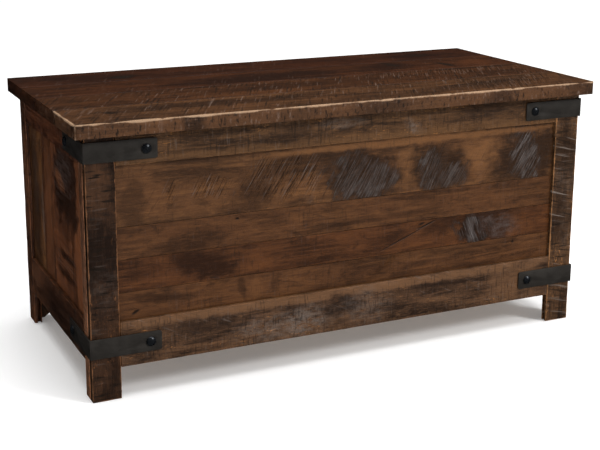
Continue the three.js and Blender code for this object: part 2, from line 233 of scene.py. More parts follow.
def slice_up(piece: Piece, axis: int, step: float) -> Piece:
    """Divides a piece of any shape by planes across an axis, about a step apart."""
    take(piece)
    ends = [corner[axis] for corner in piece.bound_box]
    start, size = min(ends), max(ends) - min(ends)
    count = max(2, round(size / step))
    place, way = Vector(), Vector()
    way[axis] = 1.0
    bpy.ops.object.mode_set(mode="EDIT")
    for number in range(1, count):
        place[axis] = start + size * number / count
        bpy.ops.mesh.select_all(action="SELECT")
        bpy.ops.mesh.bisect(plane_co=place, plane_no=way)
    return close_up(piece)


def ease(piece: Piece, width: float, segments: int = 2, test: Test | None = None) -> Piece:
    """Rounds the edges that pass a test, or every sharp edge where there is no test."""
    if test is None:
        return modify(piece, "BEVEL", width=width, segments=segments, limit_method="ANGLE",
                      angle_limit=math.radians(40))
    if pick_edges(piece, test):
        bpy.ops.mesh.bevel(offset=width, offset_type="OFFSET", segments=segments, profile=0.5, affect="EDGES")
    return close_up(piece)


def modify(piece: Piece, kind: str, **settings: object) -> Piece:
    """Adds one modifier with its settings and applies it."""
    take(piece)
    modifier = piece.modifiers.new(kind.title(), kind)
    for name, value in settings.items():
        setattr(modifier, name, value)
    bpy.ops.object.modifier_apply(modifier=modifier.name)
    return piece


def cut_away(piece: Piece, cutter: Piece) -> Piece:
    """Cuts the shape of another piece out of this one and discards the cutter."""
    modify(piece, "BOOLEAN", operation="DIFFERENCE", solver="EXACT", object=cutter)
    discard(cutter)
    return piece


def weld(piece: Piece, *parts: Piece) -> Piece:
    """Unites parts with a piece into one closed solid."""
    for part in parts:
        modify(piece, "BOOLEAN", operation="UNION", solver="EXACT", object=part)
        discard(part)
    return piece


def gather(name: str, parts: list[Piece]) -> Piece:
    """Joins loose parts, such as a row of screws, into one piece."""
    deselect()
    for part in parts:
        part.select_set(True)
    bpy.context.view_layer.objects.active = parts[0]
    bpy.ops.object.join()
    parts[0].name = parts[0].data.name = name
    return parts[0]


def polish(piece: Piece, angle: float = 35) -> Piece:
    """Merges doubles and shades the piece smooth except over sharp edges."""
    pick_faces(piece, lambda centre, way: True)
    bpy.ops.mesh.remove_doubles(threshold=2e-6)
    close_up(piece)
    bpy.ops.object.shade_smooth_by_angle(angle=math.radians(angle))
    return piece


def on_edge(low: Vector, high: Vector, reach: float) -> Callable[[Vector], float]:
    """How close a point lies to an arris of a box, as a weight.

    Args:
        low: The box's lowest corner.
        high: The box's highest corner.
        reach: Distance from the arris at which the weight is down to zero.

    Returns:
        A function from a point to a weight between 0 and 1.
    """

    def weight(point: Vector) -> float:
        """The weight at one point."""
        spans = sorted(min(point[i] - low[i], high[i] - point[i]) for i in range(3))
        return max(0.0, 1.0 - max(spans[1], 0.0) / reach)

    return weight


def roughen(piece: Piece, name: str, weight: Callable[[Vector], float], size: float, depth: float) -> Piece:
    """Sinks a surface by a soft random pattern, never raising it.

    Args:
        piece: The piece to roughen.
        name: Name of the pattern.
        weight: How much each point takes part.
        size: Size of the pattern's lumps.
        depth: The deepest that the surface sinks.

    Returns:
        The piece.
    """
    lumps = bpy.data.textures.new(name, "CLOUDS")
    lumps.noise_scale = size
    lumps.noise_depth = 3
    lumps.contrast = 1.25
    lumps.intensity = 1.15
    group = piece.vertex_groups.new(name="worn")
    for vertex in piece.data.vertices:
        group.add([vertex.index], weight(vertex.co), "REPLACE")
    modify(piece, "DISPLACE", texture=lumps, texture_coords="LOCAL", mid_level=0.0, strength=-depth,
           vertex_group="worn")
    piece.vertex_groups.clear()
    return piece


def dent(piece: Piece, at: Vector, way: Vector, reach: float) -> Piece:
    """Presses the surface in around one place, fading out over the reach."""
    take(piece)
    bpy.ops.object.mode_set(mode="EDIT")
    bpy.ops.mesh.select_mode(type="VERT")
    mesh = bmesh.from_edit_mesh(piece.data)
    for item in (*mesh.faces, *mesh.edges, *mesh.verts):
        item.select = False
    nearest = min(mesh.verts, key=lambda vertex: (vertex.co - at).length)
    nearest.select = True
    mesh.select_history.add(nearest)
    bmesh.update_edit_mesh(piece.data)
    bpy.ops.transform.translate(value=way, use_proportional_edit=True, proportional_edit_falloff="SMOOTH",
                                proportional_size=reach)
    return close_up(piece)


# ---- finishes ---------------------------------------------------------------------------------------------


class NodeSheet:
    """Lays out a material's nodes round one shader."""

    def __init__(self, name: str) -> None:
        """Starts a material with a shader and an output."""
        self.material = bpy.data.materials.new(name)
        self.material.use_nodes = True
        self.tree = self.material.node_tree
        self.tree.nodes.clear()
        self.shader = self.tree.nodes.new("ShaderNodeBsdfPrincipled")
        output = self.tree.nodes.new("ShaderNodeOutputMaterial")
        self.tree.links.new(self.shader.outputs[0], output.inputs["Surface"])

    def feed(self, socket: Socket, value: object) -> None:
        """Links a socket to another, or sets it to a plain value."""
        if isinstance(value, bpy.types.NodeSocket):
            self.tree.links.new(value, socket)
        elif isinstance(value, tuple) and len(value) == 3 and socket.type == "RGBA":
            socket.default_value = (*value, 1.0)
        else:
            socket.default_value = value

    def node(self, kind: str, feeds: dict[str | int, object], **settings: object) -> bpy.types.Node:
        """Adds a node.

        Args:
            kind: The node's type, without its prefix.
            feeds: What goes into its inputs, by name or number.
            settings: Its own properties.

        Returns:
            The new node.
        """
        made = self.tree.nodes.new("ShaderNode" + kind)
        for name, value in settings.items():
            setattr(made, name, value)
        for key, value in feeds.items():
            self.feed(made.inputs[key], value)
        return made

    def sum(self, operation: str, a: object, b: object = 0.0) -> Socket:
        """One step of arithmetic on two numbers."""
        return self.node("Math", {0: a, 1: b}, operation=operation).outputs[0]

    def times(self, a: object, b: object) -> Socket:
        """One number times another."""
        return self.sum("MULTIPLY", a, b)

    def plus(self, a: object, b: object) -> Socket:
        """One number and another added."""
        return self.sum("ADD", a, b)

    def less(self, a: object, b: object) -> Socket:
        """One number less another."""
        return self.sum("SUBTRACT", a, b)

    def object_place(self) -> Socket:
        """Coordinates on the piece itself."""
        return self.node("TexCoord", {}).outputs["Object"]

    def turned(self, place: Socket, at: tuple[float, ...], tilt: float = 0.0,
               size: tuple[float, ...] = (1, 1, 1)) -> Socket:
        """Coordinates counted from a point, turned by a tilt in degrees and measured in units of a size."""
        feeds = {"Vector": place, "Location": at, "Rotation": (0, 0, math.radians(tilt)), "Scale": size}
        return self.node("Mapping", feeds, vector_type="TEXTURE").outputs[0]

    def cloud(self, place: Socket, scale: float = 1.0, detail: float = 2.0, rough: float = 0.5,
              twist: float = 0.0) -> Socket:
        """A noise pattern between 0 and 1."""
        feeds = {"Vector": place, "Scale": scale, "Detail": detail, "Roughness": rough, "Distortion": twist}
        return self.node("TexNoise", feeds).outputs[0]

    def step(self, value: Socket, start: float, end: float, low: float = 0.0, high: float = 1.0) -> Socket:
        """A soft step from low to high as the value goes from start to end."""
        feeds = {0: value, 1: start, 2: end, 3: low, 4: high}
        return self.node("MapRange", feeds, interpolation_type="SMOOTHSTEP").outputs[0]

    def blend(self, share: object, a: object, b: object) -> Socket:
        """One colour mixed with another."""
        made = self.node("Mix", {}, data_type="RGBA", blend_type="MIX")
        self.feed(made.inputs["Factor"], share)
        self.feed(made.inputs[6], a)
        self.feed(made.inputs[7], b)
        return made.outputs[2]

    def relief(self, height: Socket, depth: float) -> Socket:
        """A surface relief from a height between 0 and 1."""
        return self.node("Bump", {"Height": height, "Distance": depth, "Strength": 1.0}).outputs[0]


@dataclass
class Ground:
    """What a board's patterns are laid on: the material's nodes, the show face and the board's own offset."""

    sheet: NodeSheet
    face: Socket
    shift: tuple[float, ...]

    def cloud(self, size: tuple[float, ...], detail: float, rough: float, twist: float = 0.0,
              tilt: float = 0.0, off: float = 0.0) -> Socket:
        """A noise pattern whose lumps have a size in metres, turned by a tilt and moved off by a number."""
        moved = tuple(value + off for value in self.shift)
        return self.sheet.cloud(self.sheet.turned(self.face, moved, tilt, size), 1, detail, rough, twist)


class Way(Enum):
    """The plane a board's show face lies in, as the axes to its right, upwards and inwards."""

    FRONT = (0, 2, 1)
    SIDE = (1, 2, 0)
    TOP = (0, 1, 2)


class MarkKind(Enum):
    """What a mark in the wood is."""

    ROUGH = "rough"
    DARK = "dark"
    PALE = "pale"
    KNOT = "knot"
    STROKES = "strokes"
    CRACK = "crack"
    GREYED = "greyed"


@dataclass(frozen=True)
class Mark:
    """One mark on a board: its place on the show face, half its size, its tilt in degrees and strength."""

    kind: MarkKind
    at: tuple[float, float]
    half: tuple[float, float]
    tilt: float = 0.0
    strength: float = 1.0
    slant: float = 62.0
    square: bool = False


@dataclass(frozen=True)
class Stain:
    """The colours of one stained wood."""

    deep: Colour
    body: Colour
    light: Colour
    worn: Colour
    # Grey of weathering and scratches, also the painted sheen on saw ridges, rough patches and strokes.
    grey: Colour
    black: Colour = (0.012, 0.0062, 0.0030)
    fleck: Colour = (0.32, 0.14, 0.042)


@dataclass(frozen=True)
class SawMarks:
    """Marks that the saw left: their direction in degrees, spacing and length in metres, and how strong."""

    tilt: float
    spacing: float = 0.004
    long: float = 0.06
    dark: float = 0.35
    pale: float = 0.2
    cover: tuple[float, float] = (0.35, 0.6)
    relief: float = 0.5


FRAME_STAIN = Stain((0.022, 0.010, 0.0048), (0.066, 0.032, 0.015), (0.130, 0.064, 0.029), (0.30, 0.15, 0.07),
                    (0.150, 0.118, 0.098))
PANEL_STAIN = Stain((0.030, 0.012, 0.0042), (0.086, 0.036, 0.0145), (0.140, 0.062, 0.025), (0.26, 0.13, 0.06),
                    (0.112, 0.098, 0.094))
# The lid's worn colour also paints the highlight along the first plank's front top arris.
LID_STAIN = Stain((0.026, 0.011, 0.0055), (0.066, 0.0275, 0.0128), (0.115, 0.050, 0.024), (0.44, 0.30, 0.26),
                  (0.200, 0.135, 0.105))
INNER_STAIN = Stain((0.20, 0.115, 0.058), (0.34, 0.215, 0.115), (0.45, 0.30, 0.17), (0.5, 0.34, 0.2),
                    (0.3, 0.24, 0.18))


@dataclass(frozen=True)
class WoodFinish:
    """A stained, rough-sawn hardwood board.

    Grain, colour changes, saw marks, worn arrises, single marks, painted sheen and painted shade are laid
    over each other.
    """

    name: str
    stain: Stain
    way: Way
    grain: int
    low: Vector
    high: Vector
    seed: int
    saw: tuple[SawMarks, ...] = ()
    marks: tuple[Mark, ...] = ()
    wear: float = 0.0035
    worn: float = 0.5
    even: float = 0.0
    figure: float = 0.5
    streaks: float = 0.4
    mottle: float = 0.45
    flecks: float = 0.0
    tone: Colour = (1.0, 1.0, 1.0)
    seam: float = 0.75
    ragged: float = 0.012
    soft: float = 0.0014
    coarse: float = 0.5
    rough: tuple[float, float] = (0.62, 0.46)
    relief: float = 0.0011
    specular: float = 0.25

    def material(self) -> bpy.types.Material:
        """Makes the material.

        Returns:
            The finished material.
        """
        sheet = NodeSheet(self.name)
        place = sheet.object_place()
        split = sheet.node("SeparateXYZ", {0: place})
        axes = {number: split.outputs[axis] for number, axis in enumerate(self.way.value)}
        luck = random.Random(self.seed)
        shift = tuple(luck.uniform(-9, 9) for _ in range(3))
        ground = Ground(sheet, sheet.node("CombineXYZ", axes).outputs[0], shift)
        colour, height = self.grown(ground)
        gloss = sheet.step(height, 0.3, 0.7, *self.rough)
        for mark in self.marks:
            colour, height = self.marked(ground, mark, colour, height)
        for number, saw in enumerate(self.saw):
            colour, height = self.sawn(ground, saw, number, colour, height)
        sheet.feed(sheet.shader.inputs["Base Color"], self.aged(ground, place, colour))
        sheet.feed(sheet.shader.inputs["Roughness"], gloss)
        sheet.feed(sheet.shader.inputs["Normal"], sheet.relief(height, self.relief))
        sheet.shader.inputs["Specular IOR Level"].default_value = self.specular
        return sheet.material

    def along(self, longer: float, across: float) -> tuple[float, float, float]:
        """Sizes of a pattern that runs with the grain."""
        return (longer, across, across) if self.grain == 0 else (across, longer, across)

    def shade(self, colour: Colour) -> Colour:
        """A stain colour in this board's own tone."""
        return tuple(part * share for part, share in zip(colour, self.tone))

    def grown(self, ground: Ground) -> tuple[Socket, Socket]:
        """Grain, figure and slow changes of colour.

        Args:
            ground: What the patterns are laid on.

        Returns:
            Colour and height.
        """
        sheet, stain = ground.sheet, self.stain
        deep, light = self.shade(stain.deep), self.shade(stain.light)
        wide = ground.cloud(self.along(0.20, 0.075), 3, 0.55, 0.8)
        mottle = ground.cloud(self.along(0.050, 0.020), 5, 0.68, 0.8)
        figure = ground.cloud(self.along(0.30, 0.016), 4, 0.6, 1.6)
        streak = ground.cloud(self.along(0.13, 0.0042), 4, 0.62, 0.5)
        fibre = ground.cloud(self.along(0.020, 0.0010), 3, 0.6, 0.2)
        tick = ground.cloud(self.along(0.017, 0.0036), 5, 0.75, 0.3)
        colour = sheet.blend(sheet.step(wide, 0.34, 0.60, self.even), deep, self.shade(stain.body))
        for pattern, start, end, amount, tint in (
            (figure, 0.42, 0.70, self.figure, light),
            (mottle, 0.50, 0.30, self.mottle, deep),
            (mottle, 0.54, 0.74, self.mottle * 0.8, light),
            (streak, 0.50, 0.30, self.streaks, deep),
            (fibre, 0.47, 0.27, 0.55, stain.black),
            (fibre, 0.54, 0.74, 0.4, light),
            (tick, 0.47, 0.30, self.coarse, stain.black),
            (tick, 0.54, 0.70, self.coarse * 0.9, light),
        ):
            colour = sheet.blend(sheet.times(sheet.step(pattern, start, end), amount), colour, tint)
        if self.flecks:
            spots = ground.cloud(self.along(0.016, 0.0036), 3, 0.6, 1.2)
            cluster = sheet.times(sheet.step(wide, 0.48, 0.62), self.flecks)
            colour = sheet.blend(sheet.times(sheet.step(spots, 0.60, 0.69), cluster), colour,
                                 self.shade(stain.fleck))
        height = sheet.plus(sheet.times(streak, 0.45), sheet.times(fibre, 0.4))
        return colour, sheet.plus(height, sheet.times(sheet.plus(mottle, tick), 0.5))

    def sawn(self, ground: Ground, saw: SawMarks, number: int, colour: Socket,
             height: Socket) -> tuple[Socket, Socket]:
        """Adds one set of saw marks to colour and height."""
        sheet, off = ground.sheet, number * 1.7
        lines = ground.cloud((saw.long, saw.spacing, saw.spacing * 3), 2, 0.5, 0.15, saw.tilt, off)
        cover = sheet.step(ground.cloud((0.16, 0.09, 0.09), 2, 0.6, 0.5, saw.tilt, off), *saw.cover)
        dark = sheet.times(sheet.times(sheet.step(lines, 0.44, 0.30), cover), saw.dark)
        # The pale lines take the weathering-and-sheen grey: painted sheen on the saw's ridges, and pale
        # scratch lines in the sets that stand for scratches.
        pale = sheet.times(sheet.times(sheet.step(lines, 0.60, 0.74), cover), saw.pale)
        colour = sheet.blend(pale, sheet.blend(dark, colour, self.stain.black), self.stain.grey)
        return colour, sheet.plus(height, sheet.times(sheet.times(lines, cover), saw.relief))

    def spread(self, ground: Ground, mark: Mark) -> tuple[Socket, Socket]:
        """How far out from a mark's middle a point lies, 1 being the edge, and its share inside, 0 to 1."""
        sheet = ground.sheet
        wobble = sheet.node("TexNoise", {"Vector": sheet.turned(ground.face, ground.shift), "Scale": 38.0,
                                         "Detail": 3.0}).outputs["Color"]
        offset = sheet.node("VectorMath", {0: wobble, 1: (0.5, 0.5, 0.5)}, operation="SUBTRACT").outputs[0]
        offset = sheet.node("VectorMath", {0: offset, "Scale": min(mark.half) * 1.3}, operation="SCALE")
        moved = sheet.node("VectorMath", {0: ground.face, 1: offset.outputs[0]}, operation="ADD").outputs[0]
        local = sheet.turned(moved, (*mark.at, 0), mark.tilt, (*mark.half, 1e3))
        if mark.square:
            x, y = (sheet.sum("ABSOLUTE", side) for side in sheet.node("SeparateXYZ", {0: local}).outputs[:2])
            far = sheet.sum("MAXIMUM", x, y)
            return far, sheet.step(far, 1.05, 0.75)
        far = sheet.node("VectorMath", {0: local}, operation="LENGTH").outputs["Value"]
        if mark.kind not in (MarkKind.DARK, MarkKind.PALE):
            return far, sheet.step(far, 1.05, 0.45)
        far = sheet.plus(far, sheet.less(ground.cloud(self.along(0.045, 0.018), 5, 0.6, 0.8), 0.5))
        rest = ground.cloud(self.along(0.026, 0.0042), 5, 0.72, 0.3)
        return far, sheet.times(sheet.step(far, 1.2, 0.45), sheet.step(rest, 0.34, 0.54, 0.55, 1.0))

    def marked(self, ground: Ground, mark: Mark, colour: Socket, height: Socket) -> tuple[Socket, Socket]:
        """Adds one mark to colour and height."""
        sheet, stain, kind, strength = ground.sheet, self.stain, mark.kind, mark.strength
        far, inside = self.spread(ground, mark)
        if kind is MarkKind.DARK:
            extra = max(strength - 1.0, 0.0)
            dark = tuple(a * (1 - extra) + b * extra for a, b in zip(self.shade(stain.deep), stain.black))
            return sheet.blend(sheet.times(inside, min(strength, 1.0)), colour, dark), height
        if kind is MarkKind.PALE:
            return sheet.blend(sheet.times(inside, strength), colour, self.shade(stain.light)), height
        if kind is MarkKind.KNOT:
            core = sheet.times(sheet.step(far, 0.75, 0.25), strength)
            colour = sheet.blend(sheet.times(inside, 0.55 * strength), colour, self.shade(stain.deep))
            return sheet.blend(core, colour, stain.black), sheet.less(height, sheet.times(core, 0.5))
        if kind is MarkKind.CRACK:
            share = sheet.times(sheet.step(far, 1.0, 0.3), strength)
            return sheet.blend(share, colour, stain.black), sheet.less(height, share)
        strokes = ground.cloud((0.075, 0.0031, 0.01), 4, 0.62, 0.5, mark.slant)
        grain = ground.cloud((0.016, 0.0022, 0.01), 3, 0.6, 0.3, mark.slant)
        if kind is MarkKind.GREYED:
            soft = ground.cloud((0.022, 0.012, 0.02), 6, 0.78, 0.1)
            share = sheet.times(sheet.step(soft, 0.36, 0.62), sheet.step(far, 1.25, 0.4))
            share = sheet.times(share, sheet.step(grain, 0.3, 0.6, strength * 0.45, strength))
            return sheet.blend(share, colour, stain.grey), height
        if kind is MarkKind.ROUGH:
            uneven = ground.cloud((0.05, 0.020, 0.02), 4, 0.6, 0.6, mark.slant)
            near = sheet.plus(sheet.step(far, 1.35, 0.2), sheet.less(uneven, 0.5))
            near = sheet.plus(near, sheet.less(strokes, 0.5))
            share = sheet.times(sheet.step(near, 0.12, 0.75), strength)
            dark = sheet.blend(sheet.step(grain, 0.3, 0.65), stain.black, self.shade(stain.deep))
            colour = sheet.blend(sheet.times(share, 0.92), colour, dark)
            # Over the dark rough patch, the pale strokes and the veil are painted sheen in grey on the rough
            # wood.
            pale = sheet.times(sheet.step(strokes, 0.42, 0.66), sheet.step(grain, 0.30, 0.60, 0.5, 1.0))
            veil = sheet.times(sheet.step(uneven, 0.46, 0.64), 0.25)
            core = sheet.times(sheet.step(near, 0.28, 0.95), strength)
            pale = sheet.times(sheet.plus(sheet.times(pale, 0.48), veil), core)
            height = sheet.plus(height, sheet.times(share, sheet.less(strokes, 0.9)))
            return sheet.blend(pale, colour, stain.grey), height
        line = sheet.times(sheet.step(strokes, 0.48, 0.34), inside)
        sheen = sheet.times(sheet.step(strokes, 0.56, 0.70), inside)
        colour = sheet.blend(sheet.times(line, strength * 0.8), colour, stain.black)
        colour = sheet.blend(sheet.times(sheen, strength * 0.85), colour, stain.grey)
        return colour, sheet.less(height, sheet.times(line, 0.8))

    def aged(self, ground: Ground, place: Socket, colour: Socket) -> Socket:
        """Adds worn arrises, partly painted highlight on the first lid plank, and painted shade along the
        very edge of a joint.
        """
        sheet = ground.sheet
        middle = tuple((self.low + self.high) / 2)
        local = sheet.node("VectorMath", {0: place, 1: middle}, operation="SUBTRACT")
        local = sheet.node("VectorMath", {0: local.outputs[0]}, operation="ABSOLUTE")
        half = tuple((self.high - self.low) / 2)
        local = sheet.node("VectorMath", {0: half, 1: local.outputs[0]}, operation="SUBTRACT")
        x, y, z = sheet.node("SeparateXYZ", {0: local.outputs[0]}).outputs
        second = sheet.sum("MINIMUM", sheet.sum("MAXIMUM", x, y), z)
        second = sheet.sum("MAXIMUM", sheet.sum("MINIMUM", x, y), second)
        ragged = sheet.cloud(sheet.turned(place, ground.shift, 0, (self.ragged,) * 3), 1, 5, 0.7)
        # The pale band along the arrises is wear; on the first lid plank it is broad and soft, and partly a
        # painted highlight on the lit front top arris.
        reach = sheet.step(ragged, 0.30, 0.70, 0.3 * self.wear, self.wear * 1.2)
        wear_and_highlight = sheet.step(sheet.less(second, reach), self.soft * 0.5, -self.soft)
        colour = sheet.blend(sheet.times(wear_and_highlight, self.worn), colour, self.shade(self.stain.worn))
        # Painted shade: the last millimetre next to each edge of the board's box is darkened towards black.
        joint = sheet.times(sheet.step(second, 0.9 * MM, 0.2 * MM), self.seam)
        return sheet.blend(joint, colour, self.stain.black)


@dataclass(frozen=True)
class MetalFinish:
    """A coated or aged metal with uneven colour and fine grain."""

    name: str
    colour: Colour
    patch: Colour
    metallic: float
    rough: tuple[float, float]
    relief: float = 0.00012
    scale: float = 1.0

    def material(self) -> bpy.types.Material:
        """Makes the material.

        Returns:
            The finished material.
        """
        sheet = NodeSheet(self.name)
        place = sheet.object_place()
        wide = sheet.cloud(place, 34 * self.scale, 4, 0.6, 0.3)
        fine = sheet.cloud(place, 420 * self.scale, 3, 0.6)
        grain = sheet.cloud(place, 1500 * self.scale, 2, 0.5)
        colour = sheet.blend(sheet.step(wide, 0.35, 0.7), self.colour, self.patch)
        colour = sheet.blend(sheet.times(sheet.step(fine, 0.56, 0.75), 0.4), colour, self.patch)
        rough = sheet.step(sheet.plus(sheet.times(wide, 0.5), sheet.times(fine, 0.5)),
                           0.35, 0.65, *self.rough)
        height = sheet.plus(sheet.times(fine, 0.7), sheet.times(grain, 0.4))
        sheet.feed(sheet.shader.inputs["Base Color"], colour)
        sheet.feed(sheet.shader.inputs["Roughness"], rough)
        sheet.feed(sheet.shader.inputs["Normal"], sheet.relief(height, self.relief))
        sheet.shader.inputs["Metallic"].default_value = self.metallic
        return sheet.material


STRAP_IRON = MetalFinish("strap_iron", (0.022, 0.0175, 0.0135), (0.031, 0.0255, 0.020), 0.25, (0.50, 0.64))
BOLT_IRON = MetalFinish("bolt_iron", (0.012, 0.014, 0.017), (0.022, 0.024, 0.028), 0.6, (0.24, 0.36))
BRASS = MetalFinish("antique_brass", (0.30, 0.20, 0.085), (0.17, 0.105, 0.045), 1.0, (0.30, 0.5))
SCREW_BRASS = MetalFinish("screw_brass", (0.33, 0.22, 0.10), (0.20, 0.13, 0.06), 1.0, (0.26, 0.4))


def dress(piece: Piece, material: bpy.types.Material, body: str, slot: str, *nodes: str) -> Piece:
    """Gives a finished piece its material and body, hides the CAD nodes it stands for, and reports it with
    its slot.

    Args:
        piece: The finished piece.
        material: Its material.
        body: The CAD body it rides on.
        slot: The record's material slot.
        nodes: The CAD nodes that it replaces.

    Returns:
        The piece.
    """
    polish(piece)
    piece.data.materials.clear()
    piece.data.materials.append(material)
    for face in piece.data.polygons:
        face.material_index = 0
    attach(piece, body)
    if nodes:
        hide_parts(*nodes)
    LOG.info("%s: %d faces on %s, finish %s", piece.name, len(piece.data.polygons), body, slot)
    return piece


# ---- timber -----------------------------------------------------------------------------------------------


class Run(Enum):
    """The axis that a board's length lies along."""

    X = 0
    Y = 1
    Z = 2


BEYOND = 5 * MM
THROUGH = 25 * MM


@dataclass
class Timber:
    """One board or rail, shaped from its CAD node's box."""

    node: str
    run: Run
    thick_axis: int
    easing: float = 0.8 * MM
    step: float = 14 * MM
    hollow: float = 0.35 * MM
    nibble: float = 1.2 * MM
    sliced: bool = False
    face: float = 0.0
    inward: int = 1
    edge_reach: float = 6 * MM
    hollow_size: float = 45 * MM
    nibble_size: float = 17 * MM

    def __post_init__(self) -> None:
        """Starts the board as a block of the node's own size."""
        self.low, self.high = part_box(self.node)
        self.piece = block(self.node + "_wood", self.low, self.high)

    def across_axis(self) -> int:
        """The axis across the board's face."""
        return 3 - self.run.value - self.thick_axis

    def channel(self, axis: int, upper: bool, reach: float, start: float, end: float) -> None:
        """Cuts away what lies between two depths along one side of the board.

        Args:
            axis: The axis on which that side lies.
            upper: Whether it is the high side of that axis.
            reach: How far in the cut goes from that side.
            start: Its nearer depth from the wall's outer face.
            end: Its farther depth.
        """
        room = Vector((BEYOND,) * 3)
        low, high = self.low - room, self.high + room
        low[self.thick_axis], high[self.thick_axis] = sorted(
            (self.face + self.inward * start, self.face + self.inward * end))
        if upper:
            low[axis] = self.high[axis] - reach
        else:
            high[axis] = self.low[axis] + reach
        cut_away(self.piece, block("channel_cutter", low, high))

    def shoulder(self, axis: int, upper: bool, reach: float, keep: tuple[float, float]) -> None:
        """Cuts a tongue or tenon of a reach and depth range by taking the wood away on both its sides."""
        self.channel(axis, upper, reach, -BEYOND, keep[0])
        self.channel(axis, upper, reach, keep[1], THROUGH)

    def bore(self, axis: int, at: Vector, radius: float, deep: float) -> None:
        """Bores a round hole that goes in along an axis from a point on the surface; deep may be negative."""
        turn = {0: (0, 90, 0), 1: (-90, 0, 0), 2: (0, 0, 0)}[axis]
        start = at.copy()
        start[axis] += deep if deep < 0 else -1 * MM
        cut_away(self.piece, laid(disc("bore_cutter", radius, abs(deep) + 1 * MM, 24), start, turn))

    def finish_shape(self, low: Vector | None = None, high: Vector | None = None) -> Piece:
        """Eases the arrises, divides the faces and wears the surface, always inwards.

        Args:
            low: Lowest corner of the board without its tongues.
            high: Highest corner of the board without its tongues.

        Returns:
            The shaped board.
        """
        low = self.low if low is None else low
        high = self.high if high is None else high
        self.shown_low, self.shown_high = low, high

        def outer(a: Vector, b: Vector) -> bool:
            """Whether an edge lies on an arris of the board's own box."""
            sides = 0
            for axis in range(3):
                for plane in (low[axis], high[axis]):
                    if abs(a[axis] - plane) < NEAR and abs(b[axis] - plane) < NEAR:
                        sides += 1
            return sides >= 2

        ease(self.piece, self.easing, 2, outer)
        divide = slice_up if self.sliced else subdivide
        divide(self.piece, self.run.value, self.step)
        divide(self.piece, self.across_axis(), self.step)
        weight = on_edge(low, high, self.edge_reach)
        roughen(self.piece, self.node + "_hollows", lambda point: 0.35 + 0.65 * weight(point),
                self.hollow_size, self.hollow)
        roughen(self.piece, self.node + "_nibbles", lambda point: weight(point) ** 2, self.nibble_size,
                self.nibble)
        return self.piece


class Wall(Enum):
    """The four walls, each with its face plane, outward sign and axis to the right."""

    FRONT = "front"
    LEFT = "left"
    RIGHT = "right"
    BACK = "back"

    @property
    def thick_axis(self) -> int:
        """The axis through the wall's thickness."""
        return 1 if self in (Wall.FRONT, Wall.BACK) else 0

    @property
    def inward(self) -> int:
        """The sign of the way from the outer face inwards."""
        return 1 if self in (Wall.FRONT, Wall.LEFT) else -1

    @property
    def way(self) -> Way:
        """The plane of the show face."""
        return Way.FRONT if self.thick_axis == 1 else Way.SIDE


@dataclass
class CasePlan:
    """Sizes that the four walls share."""

    groove: tuple[float, float] = (7.25 * MM, 14.25 * MM)
    groove_deep: float = 10 * MM
    tongue: tuple[float, float] = (7.5 * MM, 14 * MM)
    tongue_long: float = 9.5 * MM
    foot_toe: float = 11 * MM
    foot_rise: float = 38 * MM
    hole: float = 4.25 * MM
    hole_deep: float = 14 * MM


ROUGH, DARK, PALE, KNOT, STROKES, CRACK, GREYED = MarkKind
CROSS_CUT = SawMarks(90, 0.0044, 0.032, 0.52, 0.22, (0.30, 0.54), 0.7)
LEVEL_CUT = SawMarks(0, 0.0050, 0.05, 0.7, 0.26, (0.28, 0.5), 0.8)
FINE_CROSS = SawMarks(90, 0.0042, 0.028, 0.34, 0.10, (0.35, 0.6), 0.3)

